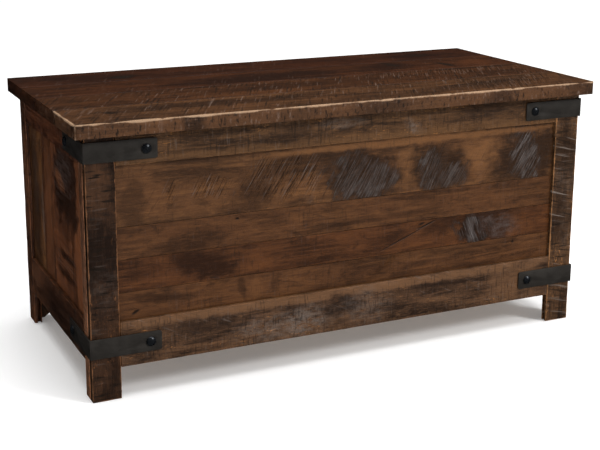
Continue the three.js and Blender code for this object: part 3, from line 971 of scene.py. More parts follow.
# Each row: kind, place and half size in millimetres, then what follows them in Mark.
MARKS: dict[str, tuple[tuple, ...]] = {
    "front_board_1": (
        (DARK, 92, 385, 32, 62, 0, 0.7), (DARK, 345, 378, 50, 36, 25, 0.75),
        (DARK, 400, 428, 110, 34, 0, 0.5), (PALE, 700, 408, 36, 44, 10, 0.7),
        (PALE, 885, 412, 58, 40, 0, 0.8), (DARK, 590, 400, 108, 66, -15, 1.3),
        (DARK, 775, 394, 84, 64, -10, 1.3), (DARK, 990, 398, 96, 78, 0, 1.3),
        (STROKES, 172, 405, 18, 32, 0, 1.0), (STROKES, 250, 408, 56, 30, 0, 0.7),
        (STROKES, 405, 412, 112, 58, 0, 1.0, 58), (ROUGH, 575, 392, 80, 60, -20, 0.95, 58),
        (ROUGH, 640, 388, 44, 36, -10, 0.8, 64), (ROUGH, 757, 390, 34, 66, 0, 1.0, 66),
        (ROUGH, 812, 374, 46, 34, 0, 0.85, 58), (ROUGH, 1000, 402, 52, 74, 5, 1.2, 58),
        (DARK, 1052, 400, 23, 84, 0, 1.25), (DARK, 230, 463, 100, 6, 0, 0.8),
        (PALE, 720, 459, 460, 9, 0, 0.8),
    ),
    "front_board_2": (
        (DARK, 205, 298, 95, 24, 8, 0.8), (KNOT, 309, 337, 6, 3.5, 0, 1.0), (DARK, 825, 338, 46, 5, 0, 0.6),
        (DARK, 620, 300, 190, 7, 1, 0.35),
    ),
    "front_board_3": (
        (DARK, 232, 250, 78, 34, -20, 1.0), (DARK, 105, 255, 40, 28, 0, 0.45),
        (PALE, 350, 238, 52, 24, 0, 0.45), (DARK, 790, 262, 62, 24, 12, 0.75),
        (CRACK, 690, 246, 86, 1.9, 21, 0.9), (CRACK, 748, 270, 34, 2.4, 18, 1.0),
        (KNOT, 736, 274, 11, 5, 20, 0.8), (DARK, 900, 248, 72, 32, -14, 0.8, 62, True),
        (GREYED, 930, 250, 62, 32, -14, 0.4, 112), (ROUGH, 864, 248, 50, 44, -14, 1.2, 112),
        (DARK, 915, 277, 90, 5, 0, 0.85),
    ),
    "front_board_4": (
        (DARK, 140, 194, 85, 14, -6, 0.8), (KNOT, 94, 172, 14, 5, 25, 0.9), (KNOT, 973, 204, 6, 6, 0, 0.9),
        (DARK, 320, 188, 9, 30, 12, 0.65), (PALE, 350, 186, 16, 26, 0, 0.5), (DARK, 880, 165, 70, 6, 0, 0.6),
    ),
    "front_rail_top": (
        (PALE, 600, 476, 700, 11, 0, 0.55), (DARK, 430, 502, 44, 24, 0, 0.5),
        (GREYED, 706, 490, 26, 16, -30, 0.55), (GREYED, 540, 512, 60, 12, 0, 0.4),
        (DARK, 880, 516, 70, 13, 0, 0.6),
    ),
    "front_rail_bottom": (
        # The long pale band along the top of this rail is partly lighter wood and partly painted highlight
        # where the upward ledge and eased top arris catch the light.
        (PALE, 560, 150, 760, 12, 0, 0.85), (DARK, 240, 122, 70, 20, 0, 0.5),
        (PALE, 985, 112, 85, 38, 0, 0.6), (GREYED, 385, 98, 90, 34, 0, 0.5, 100),
        (GREYED, 470, 100, 55, 40, 0, 0.6, 95), (DARK, 545, 122, 52, 26, 0, 1.1),
        (GREYED, 600, 112, 70, 40, 0, 0.35, 92), (DARK, 760, 128, 130, 14, 0, 0.5),
    ),
    "front_stile_left": (
        (DARK, 30, 290, 50, 90, 0, 0.9), (PALE, 24, 430, 30, 60, 0, 0.6),
        (GREYED, 30, 230, 34, 50, 0, 0.15, 4), (DARK, 30, 190, 34, 30, 0, 0.5),
    ),
    "front_stile_right": (
        (GREYED, 1104, 345, 28, 46, 0, 0.25, -14), (GREYED, 1110, 240, 16, 90, 0, 0.2, -14),
        (DARK, 1104, 400, 34, 60, 0, 0.8), (DARK, 1100, 250, 30, 70, 0, 0.6),
    ),
    "left_board_3": (
        (PALE, 95, 300, 26, 190, 0, 0.5), (DARK, 178, 400, 88, 84, 0, 1.15, 62, True),
        (PALE, 224, 398, 46, 18, 20, 0.8), (DARK, 190, 366, 105, 14, 0, 1.4),
        (GREYED, 185, 430, 70, 44, 0, 0.3, 4), (STROKES, 185, 405, 92, 90, 0, 0.9, 3),
        (STROKES, 190, 225, 95, 60, 0, 0.9, 2), (KNOT, 215, 352, 34, 12, 0, 0.8),
        (DARK, 190, 300, 60, 40, 0, 0.55), (DARK, 185, 242, 78, 9, 0, 1.3), (DARK, 195, 202, 84, 11, 0, 1.3),
    ),
    "left_board_2": (
        (PALE, 325, 320, 30, 170, 0, 0.5),
    ),
    "left_board_1": (
        # The strong dark band at the back end of this board is partly dark wood and partly painted shadow in
        # the recess beside the back stile.
        (DARK, 440, 300, 46, 200, 0, 1.1), (GREYED, 366, 290, 22, 80, 0, 0.6, 88),
        (GREYED, 430, 360, 22, 110, 0, 0.2, 88),
    ),
    "left_rail_bottom": (
        (DARK, 200, 112, 240, 46, 0, 0.7), (PALE, 430, 130, 60, 28, 0, 0.5),
    ),
    "lid_plank_1": (
        (DARK, 300, 100, 210, 30, -4, 0.8), (KNOT, 98, 88, 26, 18, 0, 0.8), (DARK, 880, 60, 260, 30, 6, 0.5),
        (PALE, 400, 145, 360, 12, 0, 0.6), (STROKES, 1000, 70, 150, 70, 0, 0.7, 62),
        (PALE, 1060, 150, 110, 6, 0, 0.8), (PALE, 587, 1, 600, 3, 0, 0.45, 62, True),
        (DARK, 232, 0, 26, 3, 0, 0.9), (DARK, 640, 0, 70, 3, 0, 0.5), (DARK, 930, 0, 46, 3, 0, 0.7),
    ),
    "lid_plank_2": (
        (DARK, 600, 230, 300, 34, 0, 0.5), (PALE, 420, 175, 200, 20, 0, 0.6),
        (KNOT, 935, 190, 7, 16, 15, 0.9), (STROKES, 900, 250, 240, 46, 0, 0.6, 62),
    ),
    "lid_plank_3": (
        (DARK, 520, 345, 260, 46, 3, 1.05), (DARK, 560, 308, 180, 10, 0, 0.9),
        (KNOT, 1000, 340, 18, 62, 12, 0.9), (DARK, 855, 375, 85, 46, 0, 0.95),
        (KNOT, 875, 385, 26, 60, 15, 0.7), (PALE, 1085, 350, 60, 45, 0, 0.7),
    ),
    "lid_plank_4": (
        (DARK, 170, 488, 130, 44, 0, 0.8), (KNOT, 238, 475, 54, 30, 20, 1.0),
        (DARK, 730, 515, 110, 26, 0, 0.6), (DARK, 1000, 492, 110, 42, 0, 0.9),
        (KNOT, 1010, 490, 60, 30, 0, 0.6),
    ),
}

MARK_ORIGINS = {"front": (-565.5, 0.0), "left": (-260.0, 0.0), "lid": (-587.5, -282.5)}


def marks_on(node: str) -> tuple[Mark, ...]:
    """The marks of one board, counted from the lowest corner of the case's face or of the lid."""
    rows = MARKS.get(node, ())
    x, y = MARK_ORIGINS[node.split("_")[0]] if rows else (0.0, 0.0)
    return tuple(Mark(kind, ((x + right) * MM, (y + up) * MM), (half * MM, tall * MM), *rest)
                 for kind, right, up, half, tall, *rest in rows)


PLAIN: Colour = (1.0, 1.0, 1.0)
TONES: dict[str, Colour] = {
    "front_board_1": (1.23, 1.12, 0.76), "front_board_2": (1.00, 0.84, 0.51),
    "front_board_3": (0.93, 0.67, 0.29), "front_board_4": (0.98, 0.82, 0.48),
    "front_rail_bottom": (1.13, 1.05, 0.92), "front_rail_top": (1.10, 0.98, 0.66),
    "front_stile_left": (0.61, 0.49, 0.36), "front_stile_right": (1.11, 1.02, 0.80),
    "left_stile_front": (2.16, 1.78, 1.67), "left_board_3": (1.40, 0.95, 0.56),
    "left_board_2": (1.14, 0.80, 0.47), "left_board_1": (1.40, 1.19, 0.65),
    "left_rail_top": (1.13, 0.62, 0.31), "left_rail_bottom": (0.98, 0.69, 0.53),
    "left_stile_back": (1.16, 0.79, 0.58), "lid_plank_1": (1.02, 0.95, 0.66),
    "lid_plank_2": (0.76, 0.60, 0.33), "lid_plank_3": (0.67, 0.45, 0.21), "lid_plank_4": (0.57, 0.35, 0.17),
    "right_board_1": (1.11, 0.89, 0.71), "right_board_2": (1.22, 0.95, 0.76),
    "right_board_3": (1.00, 0.84, 0.68), "right_rail_top": (1.00, 0.73, 0.58),
    "right_rail_bottom": (0.95, 0.76, 0.66), "right_stile_front": (1.22, 1.05, 0.89),
    "right_stile_back": (1.11, 0.84, 0.68), "back_board_1": (1.00, 0.84, 0.66),
    "back_board_2": (0.95, 0.79, 0.60), "back_board_3": (1.05, 0.87, 0.68),
}

LID_SAW = SawMarks(63, 0.0048, 0.08, 0.80, 0.38, (0.18, 0.45), 0.6)
SCRATCHES = SawMarks(61, 0.0080, 0.13, 0.35, 0.28, (0.42, 0.64), 0.4)
SAWN: dict[str, tuple[SawMarks, ...]] = {
    "front_stile_left": (SawMarks(2, 0.0066, 0.050, 1.0, 0.16, (0.10, 0.35), 1.4),
                         SawMarks(-5, 0.0105, 0.06, 0.8, 0.1)),
    "front_stile_right": (SawMarks(-15, 0.0070, 0.12, 0.7, 1.0, (0.10, 0.35), 0.9), LEVEL_CUT),
    "front_rail_bottom": (CROSS_CUT, SawMarks(-24, 0.006, 0.05, 0.3, 0.4, (0.40, 0.62), 0.4)),
    "left_stile_front": (SawMarks(4, 0.0055, 0.05, 0.5, 0.5, (0.2, 0.45), 0.8),),
    "lid_plank_1": (LID_SAW, SCRATCHES),
    "lid_plank_2": (LID_SAW, SCRATCHES),
    "lid_plank_3": (SawMarks(66, 0.0040, 0.07, 0.25, 0.14, (0.3, 0.55), 0.3),),
    "lid_plank_4": (SawMarks(66, 0.0040, 0.07, 0.25, 0.12, (0.3, 0.55), 0.3),),
}


@dataclass
class WallBuild:
    """One frame-and-panel wall: two stiles, two rails and the boards of its panel."""

    wall: Wall
    stiles: tuple[str, str]
    boards: int
    lying: bool
    plan: CasePlan = field(default_factory=CasePlan)

    def __post_init__(self) -> None:
        """Finds the wall's outer face and the axis that it runs along."""
        low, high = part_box(f"{self.wall.value}_rail_top")
        axis = self.wall.thick_axis
        self.plane = low[axis] if self.wall.inward > 0 else high[axis]
        self.run_axis = 1 - axis

    def timber(self, name: str, run: Run, **settings: float) -> Timber:
        """A board of this wall, started as a block."""
        return Timber(f"{self.wall.value}_{name}", run, self.wall.thick_axis, face=self.plane,
                      inward=self.wall.inward, **settings)

    def finish(self, timber: Timber, stain: Stain, seed: int, **settings: object) -> WoodFinish:
        """The wood finish of one board."""
        grain = 1 if timber.run is Run.Z else 0
        saw = SAWN.get(timber.node, (CROSS_CUT,) if grain == 0 else (LEVEL_CUT,))
        settings = {"saw": saw, "tone": TONES.get(timber.node, PLAIN)} | settings
        return WoodFinish(timber.node + "_finish", stain, self.wall.way, grain, timber.shown_low,
                          timber.shown_high, seed, marks=marks_on(timber.node), **settings)

    def build_stile(self, name: str, groove_high: bool, seed: int) -> Piece:
        """Makes one stile with its groove.

        Args:
            name: The stile's name in the wall.
            groove_high: Whether the groove is on its high side.
            seed: Its own number for the grain.

        Returns:
            The stile.
        """
        stile = self.timber(name, Run.Z, easing=1.1 * MM, nibble=1.5 * MM)
        stile.channel(self.run_axis, groove_high, self.plan.groove_deep, *self.plan.groove)
        if self.wall is Wall.BACK:
            self.slant_foot(stile, groove_high)
        stile.finish_shape()
        worn, wear, seam = (0.85, 3.2 * MM, 0.1) if self.wall is Wall.FRONT else (0.75, 2.0 * MM, 0.75)
        finish = self.finish(stile, FRAME_STAIN, seed, worn=worn, wear=wear, seam=seam, flecks=0.8,
                             mottle=0.8, figure=0.4, streaks=0.2, coarse=0.75, ragged=0.03)
        return dress(stile.piece, finish.material(), "case", "stained_frame", stile.node)

    def slant_foot(self, stile: Timber, groove_high: bool) -> None:
        """Saws the foot of a back stile to its slant."""
        outer = stile.low.x if groove_high else stile.high.x
        inner = stile.high.x if groove_high else stile.low.x
        towards = 1 if inner > outer else -1
        toe = Vector((outer + towards * self.plan.foot_toe, 0, 0))
        heel = Vector((inner, 0, self.plan.foot_rise))
        normal = Vector((towards * (heel.z - toe.z), 0, -abs(heel.x - toe.x)))
        saw_through(stile.piece, toe, normal, off=True)

    def build_rail(self, name: str, groove_high: bool, seed: int) -> Piece:
        """Makes one rail with its tenons, groove, bolt holes and, at the back, its hinge pockets."""
        rail = self.timber(name, Run(self.run_axis), easing=1.1 * MM, nibble=1.3 * MM)
        rail.channel(2, groove_high, self.plan.groove_deep, *self.plan.groove)
        reach = self.plan.tongue_long
        for upper in (False, True):
            rail.shoulder(self.run_axis, upper, reach, self.plan.tongue)
        low, high = rail.low.copy(), rail.high.copy()
        low[self.run_axis] += reach
        high[self.run_axis] -= reach
        rail.finish_shape(low, high)
        self.bolt_holes(rail)
        if rail.node == "back_rail_top":
            self.hinge_pockets(rail)
        finish = self.finish(rail, FRAME_STAIN, seed, worn=0.5, wear=1.6 * MM, flecks=0.7, mottle=0.85,
                             figure=0.6, ragged=0.03, coarse=0.75)
        return dress(rail.piece, finish.material(), "case", "stained_frame", rail.node)

    def bolt_holes(self, rail: Timber) -> None:
        """Bores the holes for the bolts that pass through this rail."""
        level = "upper" if rail.node.endswith("top") else "lower"
        for side in ("left", "right"):
            if self.wall is Wall.BACK or (self.wall is not Wall.FRONT and self.wall.value != side):
                continue
            low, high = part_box(f"bolt_{level}_{side}_{'front' if self.wall is Wall.FRONT else 'side'}")
            at = (low + high) / 2
            at[self.wall.thick_axis] = self.plane
            rail.bore(self.wall.thick_axis, at, self.plan.hole, self.wall.inward * self.plan.hole_deep)

    def hinge_pockets(self, rail: Timber) -> None:
        """Cuts the pockets that the hinges are let into."""
        for side in ("left", "right"):
            low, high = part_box(f"hinge_case_leaf_{side}")
            gap = 0.25 * MM
            near = Vector((low.x - gap, low.y - gap * 2, 525.5 * MM))
            far = Vector((high.x + gap, rail.high.y + 1 * MM, rail.high.z + 1 * MM))
            cut_away(rail.piece, block("pocket_cutter", near, far))

    def build_board(self, number: int, seed: int) -> Piece:
        """Makes one board of the panel with the tongues that it has in its CAD node."""
        run = Run(self.run_axis) if self.lying else Run.Z
        board = self.timber(f"board_{number}", run, easing=0.25 * MM, nibble=0.2 * MM)
        reach = self.plan.tongue_long
        low, high = board.low.copy(), board.high.copy()
        whole_low, whole_high = self.panel_box()
        for axis in (self.run_axis, 2):
            for upper in (False, True):
                mine, edge = (high, whole_high) if upper else (low, whole_low)
                if abs(mine[axis] - edge[axis]) < 1e-4:
                    board.shoulder(axis, upper, reach, self.plan.tongue)
                    mine[axis] += -reach if upper else reach
        board.finish_shape(low, high)
        luck = random.Random(seed * 7 + 1)
        saw = (FINE_CROSS,) if self.lying else (CROSS_CUT,)
        finish = self.finish(board, PANEL_STAIN, seed, saw=saw, worn=0.1, wear=1.0 * MM, even=0.15,
                             figure=0.6, streaks=0.2, mottle=0.65, seam=0.22, coarse=0.42,
                             tone=TONES.get(board.node, (luck.uniform(0.92, 1.08),) * 3))
        return dress(board.piece, finish.material(), "case", "stained_panel", board.node)

    def panel_box(self) -> tuple[Vector, Vector]:
        """The box round all boards of the panel, tongues and all."""
        boxes = [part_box(f"{self.wall.value}_board_{number + 1}") for number in range(self.boards)]
        low = Vector([min(box[0][axis] for box in boxes) for axis in range(3)])
        high = Vector([max(box[1][axis] for box in boxes) for axis in range(3)])
        return low, high

    def build(self) -> None:
        """Makes every piece of the wall."""
        base = {"front": 10, "left": 30, "right": 50, "back": 70}[self.wall.value]
        centre = (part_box(f"{self.wall.value}_rail_top")[0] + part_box(f"{self.wall.value}_rail_top")[1]) / 2
        for number, name in enumerate(self.stiles):
            low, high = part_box(f"{self.wall.value}_{name}")
            self.build_stile(name, (low + high)[self.run_axis] / 2 < centre[self.run_axis], base + number)
        self.build_rail("rail_top", False, base + 3)
        self.build_rail("rail_bottom", True, base + 4)
        for number in range(self.boards):
            self.build_board(number + 1, base + 5 + number)


# ---- screws -----------------------------------------------------------------------------------------------


@dataclass
class ScrewBox:
    """Countersunk, slotted wood screws, modelled once with the head's face at the origin and facing +Z."""

    radius: float = 3.1 * MM
    sink: float = 1.6 * MM
    shank: float = 1.6 * MM
    long: float = 8 * MM
    slot: float = 0.8 * MM
    room: float = 0.15 * MM
    sunk: float = 2 * MM

    def __post_init__(self) -> None:
        """Makes the pattern screw."""
        screw = laid(disc("screw_pattern", self.radius, 0.35 * MM, 24), Vector((0, 0, -0.35 * MM)))
        pick_faces(screw, lambda centre, way: way.z < -0.9)
        push((0, 0, -self.sink), self.shank / self.radius)
        push((0, 0, -self.long + self.sink), 0.25)
        close_up(screw)
        half = self.slot / 2
        cut_away(screw, block("slot_cutter", Vector((-self.radius * 2, -half, -0.7 * MM)),
                              Vector((self.radius * 2, half, 1 * MM))))
        self.pattern = screw
        self.brass = SCREW_BRASS.material()

    def row(self, name: str, places: Iterable[Vector], turn: tuple[float, float, float], body: str,
            seed: int) -> Piece:
        """Sets copies of the screw at places on one surface and joins them into one piece."""
        luck = random.Random(seed)
        screws = []
        for number, place in enumerate(places):
            screw = laid(another(self.pattern, f"{name}_{number}"), Vector(), (0, 0, luck.uniform(0, 180)))
            screws.append(laid(screw, place, turn))
        return dress(gather(name, screws), self.brass, body, "antique_brass")


    def fix(self, name: str, piece: Piece, places: list[Vector], turn: tuple[float, float, float], body: str,
            seed: int) -> Piece:
        """Countersinks a plate at places on its face and sets the screws there.

        Args:
            name: Name of the row of screws.
            piece: The plate.
            places: Where the screws go, on the plate's face.
            turn: The angles that turn +Z to the way the heads face.
            body: The body that the screws ride on.
            seed: The row's own number, for how its slots lie.

        Returns:
            The row.
        """
        out = Euler([math.radians(angle) for angle in turn]).to_matrix() @ Vector((0, 0, 1))
        lying = abs(out.x) > 0.5
        back = Vector((1, 0, 0) if lying else (0, 0, 1)) * self.sunk / 2 + out * (self.sunk / 2 - 0.1 * MM)
        for place in places:
            sink = disc("sink_cutter", self.radius + self.room, self.sunk, 24)
            cut_away(piece, laid(sink, place - back, (0, 90, 0) if lying else (0, 0, 0)))
        return self.row(name, [place - out * self.room for place in places], turn, body, seed)


# ---- lid --------------------------------------------------------------------------------------------------


@dataclass
class Lid:
    """Four planks side by side on two battens."""

    planks: int = 4
    corner: float = 8 * MM
    arris: float = 2.4 * MM
    bandless_reach: float = 0.1
    screws_on_batten: int = 4
    screw_sink: float = 0.3 * MM
    dents: tuple[tuple[float, float, float], ...] = (
        (-0.415, 0.012, 2.6), (-0.195, 0.010, 2.2), (0.372, 0.012, 2.4), (-0.52, 0.016, 2.0),
        (0.05, 0.014, 1.6), (0.22, 0.010, 1.5), (0.555, 0.016, 2.4))
    old_cuts: tuple[tuple[float, float], ...] = ((-0.520, 52), (0.002, 60), (0.450, 48))

    def build(self, screws: ScrewBox) -> None:
        """Makes planks, battens and the battens' screws."""
        for number in range(self.planks):
            self.build_plank(number + 1)
        for number, side in enumerate(("left", "right")):
            self.build_batten(side, number, screws)

    def build_plank(self, number: int) -> Piece:
        """Makes one plank, with the outer corners rounded on the first and the last.

        Args:
            number: The plank's number, counted from the front.

        Returns:
            The plank.
        """
        plank = Timber(f"lid_plank_{number}", Run.X, 2, easing=0.6 * MM, step=9 * MM, hollow=0.45 * MM,
                       nibble=0.5 * MM, sliced=True)
        low, high = plank.low, plank.high
        outer = {1: low.y, self.planks: high.y}.get(number)
        if outer is not None:
            ease(plank.piece, self.corner, 5, lying_at(1, outer, 0, False))
            ease(plank.piece, self.arris, 4, lying_at(1, outer, 2, False))
        plank.finish_shape()
        if number == 1:
            self.knock_about(plank)
        # The box is pushed past the bottom and the inner edges, so that only the outer top arrises get the
        # pale band.
        open_low, open_high = low.copy(), high.copy()
        open_low.z -= self.bandless_reach
        if number > 1:
            open_low.y -= self.bandless_reach
        if number < self.planks:
            open_high.y += self.bandless_reach
        # The first plank's broad, soft band along its front top arris is partly wear and partly painted
        # highlight.
        worn, wear, soft = (0.85, 4.6 * MM, 2.6 * MM) if number == 1 else (0.2, 1.0 * MM, 1.4 * MM)
        finish = WoodFinish(plank.node + "_finish", LID_STAIN, Way.TOP, 0, open_low, open_high, 90 + number,
                            saw=SAWN[plank.node], marks=marks_on(plank.node), worn=worn, wear=wear, soft=soft,
                            figure=0.8, ragged=0.08, streaks=0.4, mottle=0.8, coarse=0.6,
                            tone=TONES[plank.node])
        return dress(plank.piece, finish.material(), "lid", "lid_wood", plank.node)

    def knock_about(self, plank: Timber) -> None:
        """Gives the front edge the dents of use and three old slanting cuts."""
        luck = random.Random(5)
        front, top, bottom = plank.low.y, plank.high.z, plank.low.z
        for x, reach, depth in self.dents:
            dent(plank.piece, Vector((x, front, top)), Vector((0, depth, -depth * 0.8)) * MM, reach)
        for _ in range(10):
            x = luck.uniform(-0.57, 0.57)
            dent(plank.piece, Vector((x, front, luck.choice((top, bottom)))), Vector((0, 1.2, 0)) * MM,
                 luck.uniform(0.008, 0.02))
        for x, slope in self.old_cuts:
            blade = block("old_cut", Vector((-9, -1.4, -0.55)) * MM, Vector((9, 1.4, 0.55)) * MM)
            blade = laid(blade, Vector((x, front, (top + bottom) / 2 + 2 * MM)), (0, slope, 0))
            cut_away(plank.piece, blade)

    def build_batten(self, side: str, number: int, screws: ScrewBox) -> Piece:
        """Makes one batten and the screws that hold it under the planks."""
        batten = Timber(f"lid_batten_{side}", Run.Y, 2, easing=2 * MM)
        low, high = batten.low, batten.high
        middle = (low.x + high.x) / 2
        places = []
        for index in range(self.screws_on_batten):
            y = low.y + (high.y - low.y) * (index + 0.5) / self.screws_on_batten
            x = middle + (12 * MM if index % 2 else -12 * MM)
            places.append(Vector((x, y, low.z)))
        batten.finish_shape()
        for place in places:
            batten.bore(2, place, screws.radius + 0.2 * MM, 2.4 * MM)
        finish = WoodFinish(batten.node + "_finish", LID_STAIN, Way.TOP, 1, low, high, 96 + number,
                            saw=(FINE_CROSS,), worn=0.3)
        raised = [place + Vector((0, 0, self.screw_sink)) for place in places]
        screws.row(f"lid_batten_screws_{side}", raised, (180, 0, 0), "lid", 20 + number)
        return dress(batten.piece, finish.material(), "lid", "lid_wood", batten.node)


# ---- floor of the case ------------------------------------------------------------------------------------


@dataclass
class CaseFloor:
    """The panel that the chest's contents rest on, and the two cleats under it."""

    def build(self) -> None:
        """Makes panel and cleats."""
        for number, name in enumerate(("floor_panel", "floor_cleat_front", "floor_cleat_back")):
            board = Timber(name, Run.X, 2, easing=0.8 * MM, step=20 * MM, hollow=0.15 * MM, nibble=0.5 * MM)
            board.finish_shape()
            finish = WoodFinish(name + "_finish", INNER_STAIN, Way.TOP, 0, board.low, board.high,
                                110 + number, saw=(FINE_CROSS,), worn=0.3, seam=0.3)
            dress(board.piece, finish.material(), "case", "inner_wood", name)


# ---- corner irons -----------------------------------------------------------------------------------------


@dataclass
class CornerIrons:
    """Four folded straps and the eight domed bolts that hold them."""

    thick: float = 2.75 * MM
    fold: float = 1.5 * MM
    round: float = 4.5 * MM
    hole: float = 4.25 * MM
    from_end: float = 22.5 * MM
    head: float = 9.75 * MM
    rise: float = 5.5 * MM
    rim: float = 1.25 * MM
    shank: float = 4 * MM
    shank_long: float = 13 * MM

    def build(self) -> None:
        """Makes the pattern strap and bolt, then every copy of them."""
        iron, bolt_iron = STRAP_IRON.material(), BOLT_IRON.material()
        low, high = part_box("strap_upper_left")
        strap = self.strap_pattern(high.x - low.x, high.z - low.z)
        bolt = self.bolt_pattern()
        for level in ("upper", "lower"):
            for side in ("left", "right"):
                name = f"strap_{level}_{side}"
                low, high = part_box(name)
                right = side == "right"
                corner = Vector((high.x if right else low.x, low.y, (low.z + high.z) / 2))
                piece = laid(another(strap, name + "_iron"), corner, (0, 0, 90 if right else 0))
                dress(piece, iron, "case", "black_iron", name)
                for wing in ("front", "side"):
                    self.set_bolt(bolt, f"bolt_{level}_{side}_{wing}", wing, right, corner, bolt_iron)
        discard(strap)
        discard(bolt)

    def set_bolt(self, bolt: Piece, name: str, wing: str, right: bool, corner: Vector,
                 material: bpy.types.Material) -> Piece:
        """Copies the bolt into one wing of a strap."""
        low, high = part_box(name)
        middle = (low + high) / 2
        if wing == "front":
            place, turn = Vector((middle.x, corner.y, middle.z)), (90, 0, 0)
        else:
            place, turn = Vector((corner.x, middle.y, middle.z)), (0, 90 if right else -90, 0)
        piece = laid(another(bolt, name + "_domed"), place, turn)
        return dress(piece, material, "case", "bolt_iron", name)

    def strap_pattern(self, wing: float, tall: float) -> Piece:
        """A folded strap with its outer corner at the origin, one wing along X and one along Y."""
        half = tall / 2
        strap = block("strap_pattern", Vector((0, 0, -half)), Vector((wing, self.thick, half)))
        saw_through(strap, Vector((self.thick, 0, 0)), Vector((1, 0, 0)))
        pick_faces(strap, lambda centre, way: way.y > 0.9 and centre.x < self.thick)
        push((0, wing - self.thick, 0))
        close_up(strap)
        ease(strap, self.round, 6, lying_at(0, wing, 2, False))
        ease(strap, self.round, 6, lying_at(1, wing, 2, False))
        ease(strap, self.fold, 5, lambda a, b: max(abs(a.x), abs(b.x), abs(a.y), abs(b.y)) < NEAR and
             abs(a.z - b.z) > half)
        hole = wing - self.from_end
        deep = self.thick + 4 * MM
        for place, turn in (((hole, deep - 2 * MM, 0), (90, 0, 0)), ((-2 * MM, hole, 0), (0, 90, 0))):
            cut_away(strap, laid(disc("hole_cutter", self.hole, deep, 32), Vector(place), turn))
        return ease(strap, 0.45 * MM, 2)

    def bolt_pattern(self) -> Piece:
        """A domed bolt along +Z, with the head's underside just above the origin."""
        gap = 0.25 * MM
        bolt = laid(disc("bolt_pattern", self.head, self.rim - gap, 48), Vector((0, 0, gap)))
        dome = self.rise - self.rim
        sphere = (self.head**2 + dome**2) / (2 * dome)
        sweep = math.asin(self.head / sphere)
        steps = 8
        pick_faces(bolt, lambda centre, way: way.z > 0.9)
        radius = self.head
        height = self.rim
        for index in range(1, steps):
            angle = sweep * (1 - index / steps)
            ring = sphere * math.sin(angle)
            level = self.rise - sphere * (1 - math.cos(angle))
            push((0, 0, level - height), ring / radius, level)
            radius, height = ring, level
        push((0, 0, self.rise - height), 0.25, self.rise)
        close_up(bolt)
        pick_faces(bolt, lambda centre, way: way.z < -0.9)
        push((0, 0, 0), self.shank / self.head, gap)
        push((0, 0, -self.shank_long - gap))
        close_up(bolt)
        return ease(bolt, 0.3 * MM, 2, lambda a, b: abs(a.z - self.rim) < 1e-6 and
                    abs(b.z - self.rim) < 1e-6 and abs(a.xy.length - self.head) < 1e-5)


# ---- hinges -----------------------------------------------------------------------------------------------


@dataclass
class Hinge:
    """A butt hinge of two leaves and a pin, let in between the back rail and the lid."""

    side: str
    brass: bpy.types.Material
    screws: ScrewBox
    leaf: float = 2 * MM
    barrel: float = 4 * MM
    bore: float = 2.125 * MM
    knuckles: int = 5
    gap: float = 0.25 * MM
    corner: float = 2 * MM

    def build(self) -> None:
        """Makes both leaves with their screws, and the pin."""
        self.low, self.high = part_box(f"hinge_case_leaf_{self.side}")
        pin_low, pin_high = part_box(f"hinge_pin_{self.side}")
        self.axis = (pin_low + pin_high) / 2
        self.build_leaf("case", True)
        self.build_leaf("lid", False)
        self.build_pin(pin_low, pin_high)

    def build_leaf(self, kind: str, even: bool) -> Piece:
        """Makes one leaf with its own knuckles of the row.

        Args:
            kind: "case" or "lid".
            even: Whether it holds the even knuckles, counted from zero.

        Returns:
            The leaf.
        """
        node = f"hinge_{kind}_leaf_{self.side}"
        low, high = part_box(node)
        start, end = self.low.x, self.high.x
        base = self.axis.z + self.barrel - self.leaf - (self.leaf + self.gap if kind == "case" else 0)
        plate_end = self.axis.y - self.barrel - 2 * self.gap
        top = base + self.leaf
        leaf = block(node + "_brass", Vector((start, low.y, base)), Vector((end, plate_end, top)))
        ease(leaf, self.corner, 4, lying_at(1, low.y, 2, True))
        knuckle = (end - start) / self.knuckles
        for index in range(0 if even else 1, self.knuckles, 2):
            x0 = start + index * knuckle + (self.gap / 2 if index else 0)
            x1 = start + (index + 1) * knuckle - (self.gap / 2 if index < self.knuckles - 1 else 0)
            roll = disc("knuckle", self.barrel, x1 - x0, 32)
            ease(roll, 0.35 * MM, 2)
            roll = laid(roll, Vector((x0, self.axis.y, self.axis.z)), (0, 90, 0))
            tab = block("tab", Vector((x0, plate_end - self.gap, base)), Vector((x1, self.axis.y, top)))
            weld(leaf, tab, roll)
        cut_away(leaf, laid(disc("pin_cutter", self.bore, end - start + 4 * MM, 24),
                            Vector((start - 2 * MM, self.axis.y, self.axis.z)), (0, 90, 0)))
        face_up = kind == "case"
        level = top if face_up else base
        places = [Vector((start + (end - start) * share, (low.y + plate_end) / 2, level))
                  for share in (0.14, 0.5, 0.86)]
        self.screws.fix(f"hinge_{kind}_screws_{self.side}", leaf, places, (0 if face_up else 180, 0, 0), kind,
                   40 + even)
        return dress(leaf, self.brass, kind, "antique_brass", node)

    def build_pin(self, low: Vector, high: Vector) -> Piece:
        """Makes the pin with a small rounded head at both ends."""
        long = high.x - low.x
        head = 1.5 * MM
        pin = disc(f"hinge_pin_{self.side}_brass", 1.3 * MM, long - 2 * head, 24)
        pin = laid(pin, Vector((0, 0, head)))
        for way in (1, -1):
            pick_faces(pin, lambda centre, normal, way=way: normal.z * way > 0.9 and
                       (way > 0 or centre.z < 1 * MM + head))
            push((0, 0, 0), 1.15)
            push((0, 0, way * head))
            close_up(pin)
        near = 1e-5
        ease(pin, 0.5 * MM, 3, lambda a, b: abs(a.z - b.z) < near and (a.z < near or a.z > long - near))
        pin = laid(pin, Vector((low.x, self.axis.y, self.axis.z)), (0, 90, 0))
        return dress(pin, self.brass, "case", "antique_brass", f"hinge_pin_{self.side}")


# ---- lid stay ---------------------------------------------------------------------------------------------


def joint_place(name: str) -> Vector:
    """A point on a joint's axis, from the record."""
    joints = frame["record"]["behaviour"]["joints"]
    return Vector(next(joint["pos_m"] for joint in joints if joint["name"] == name))


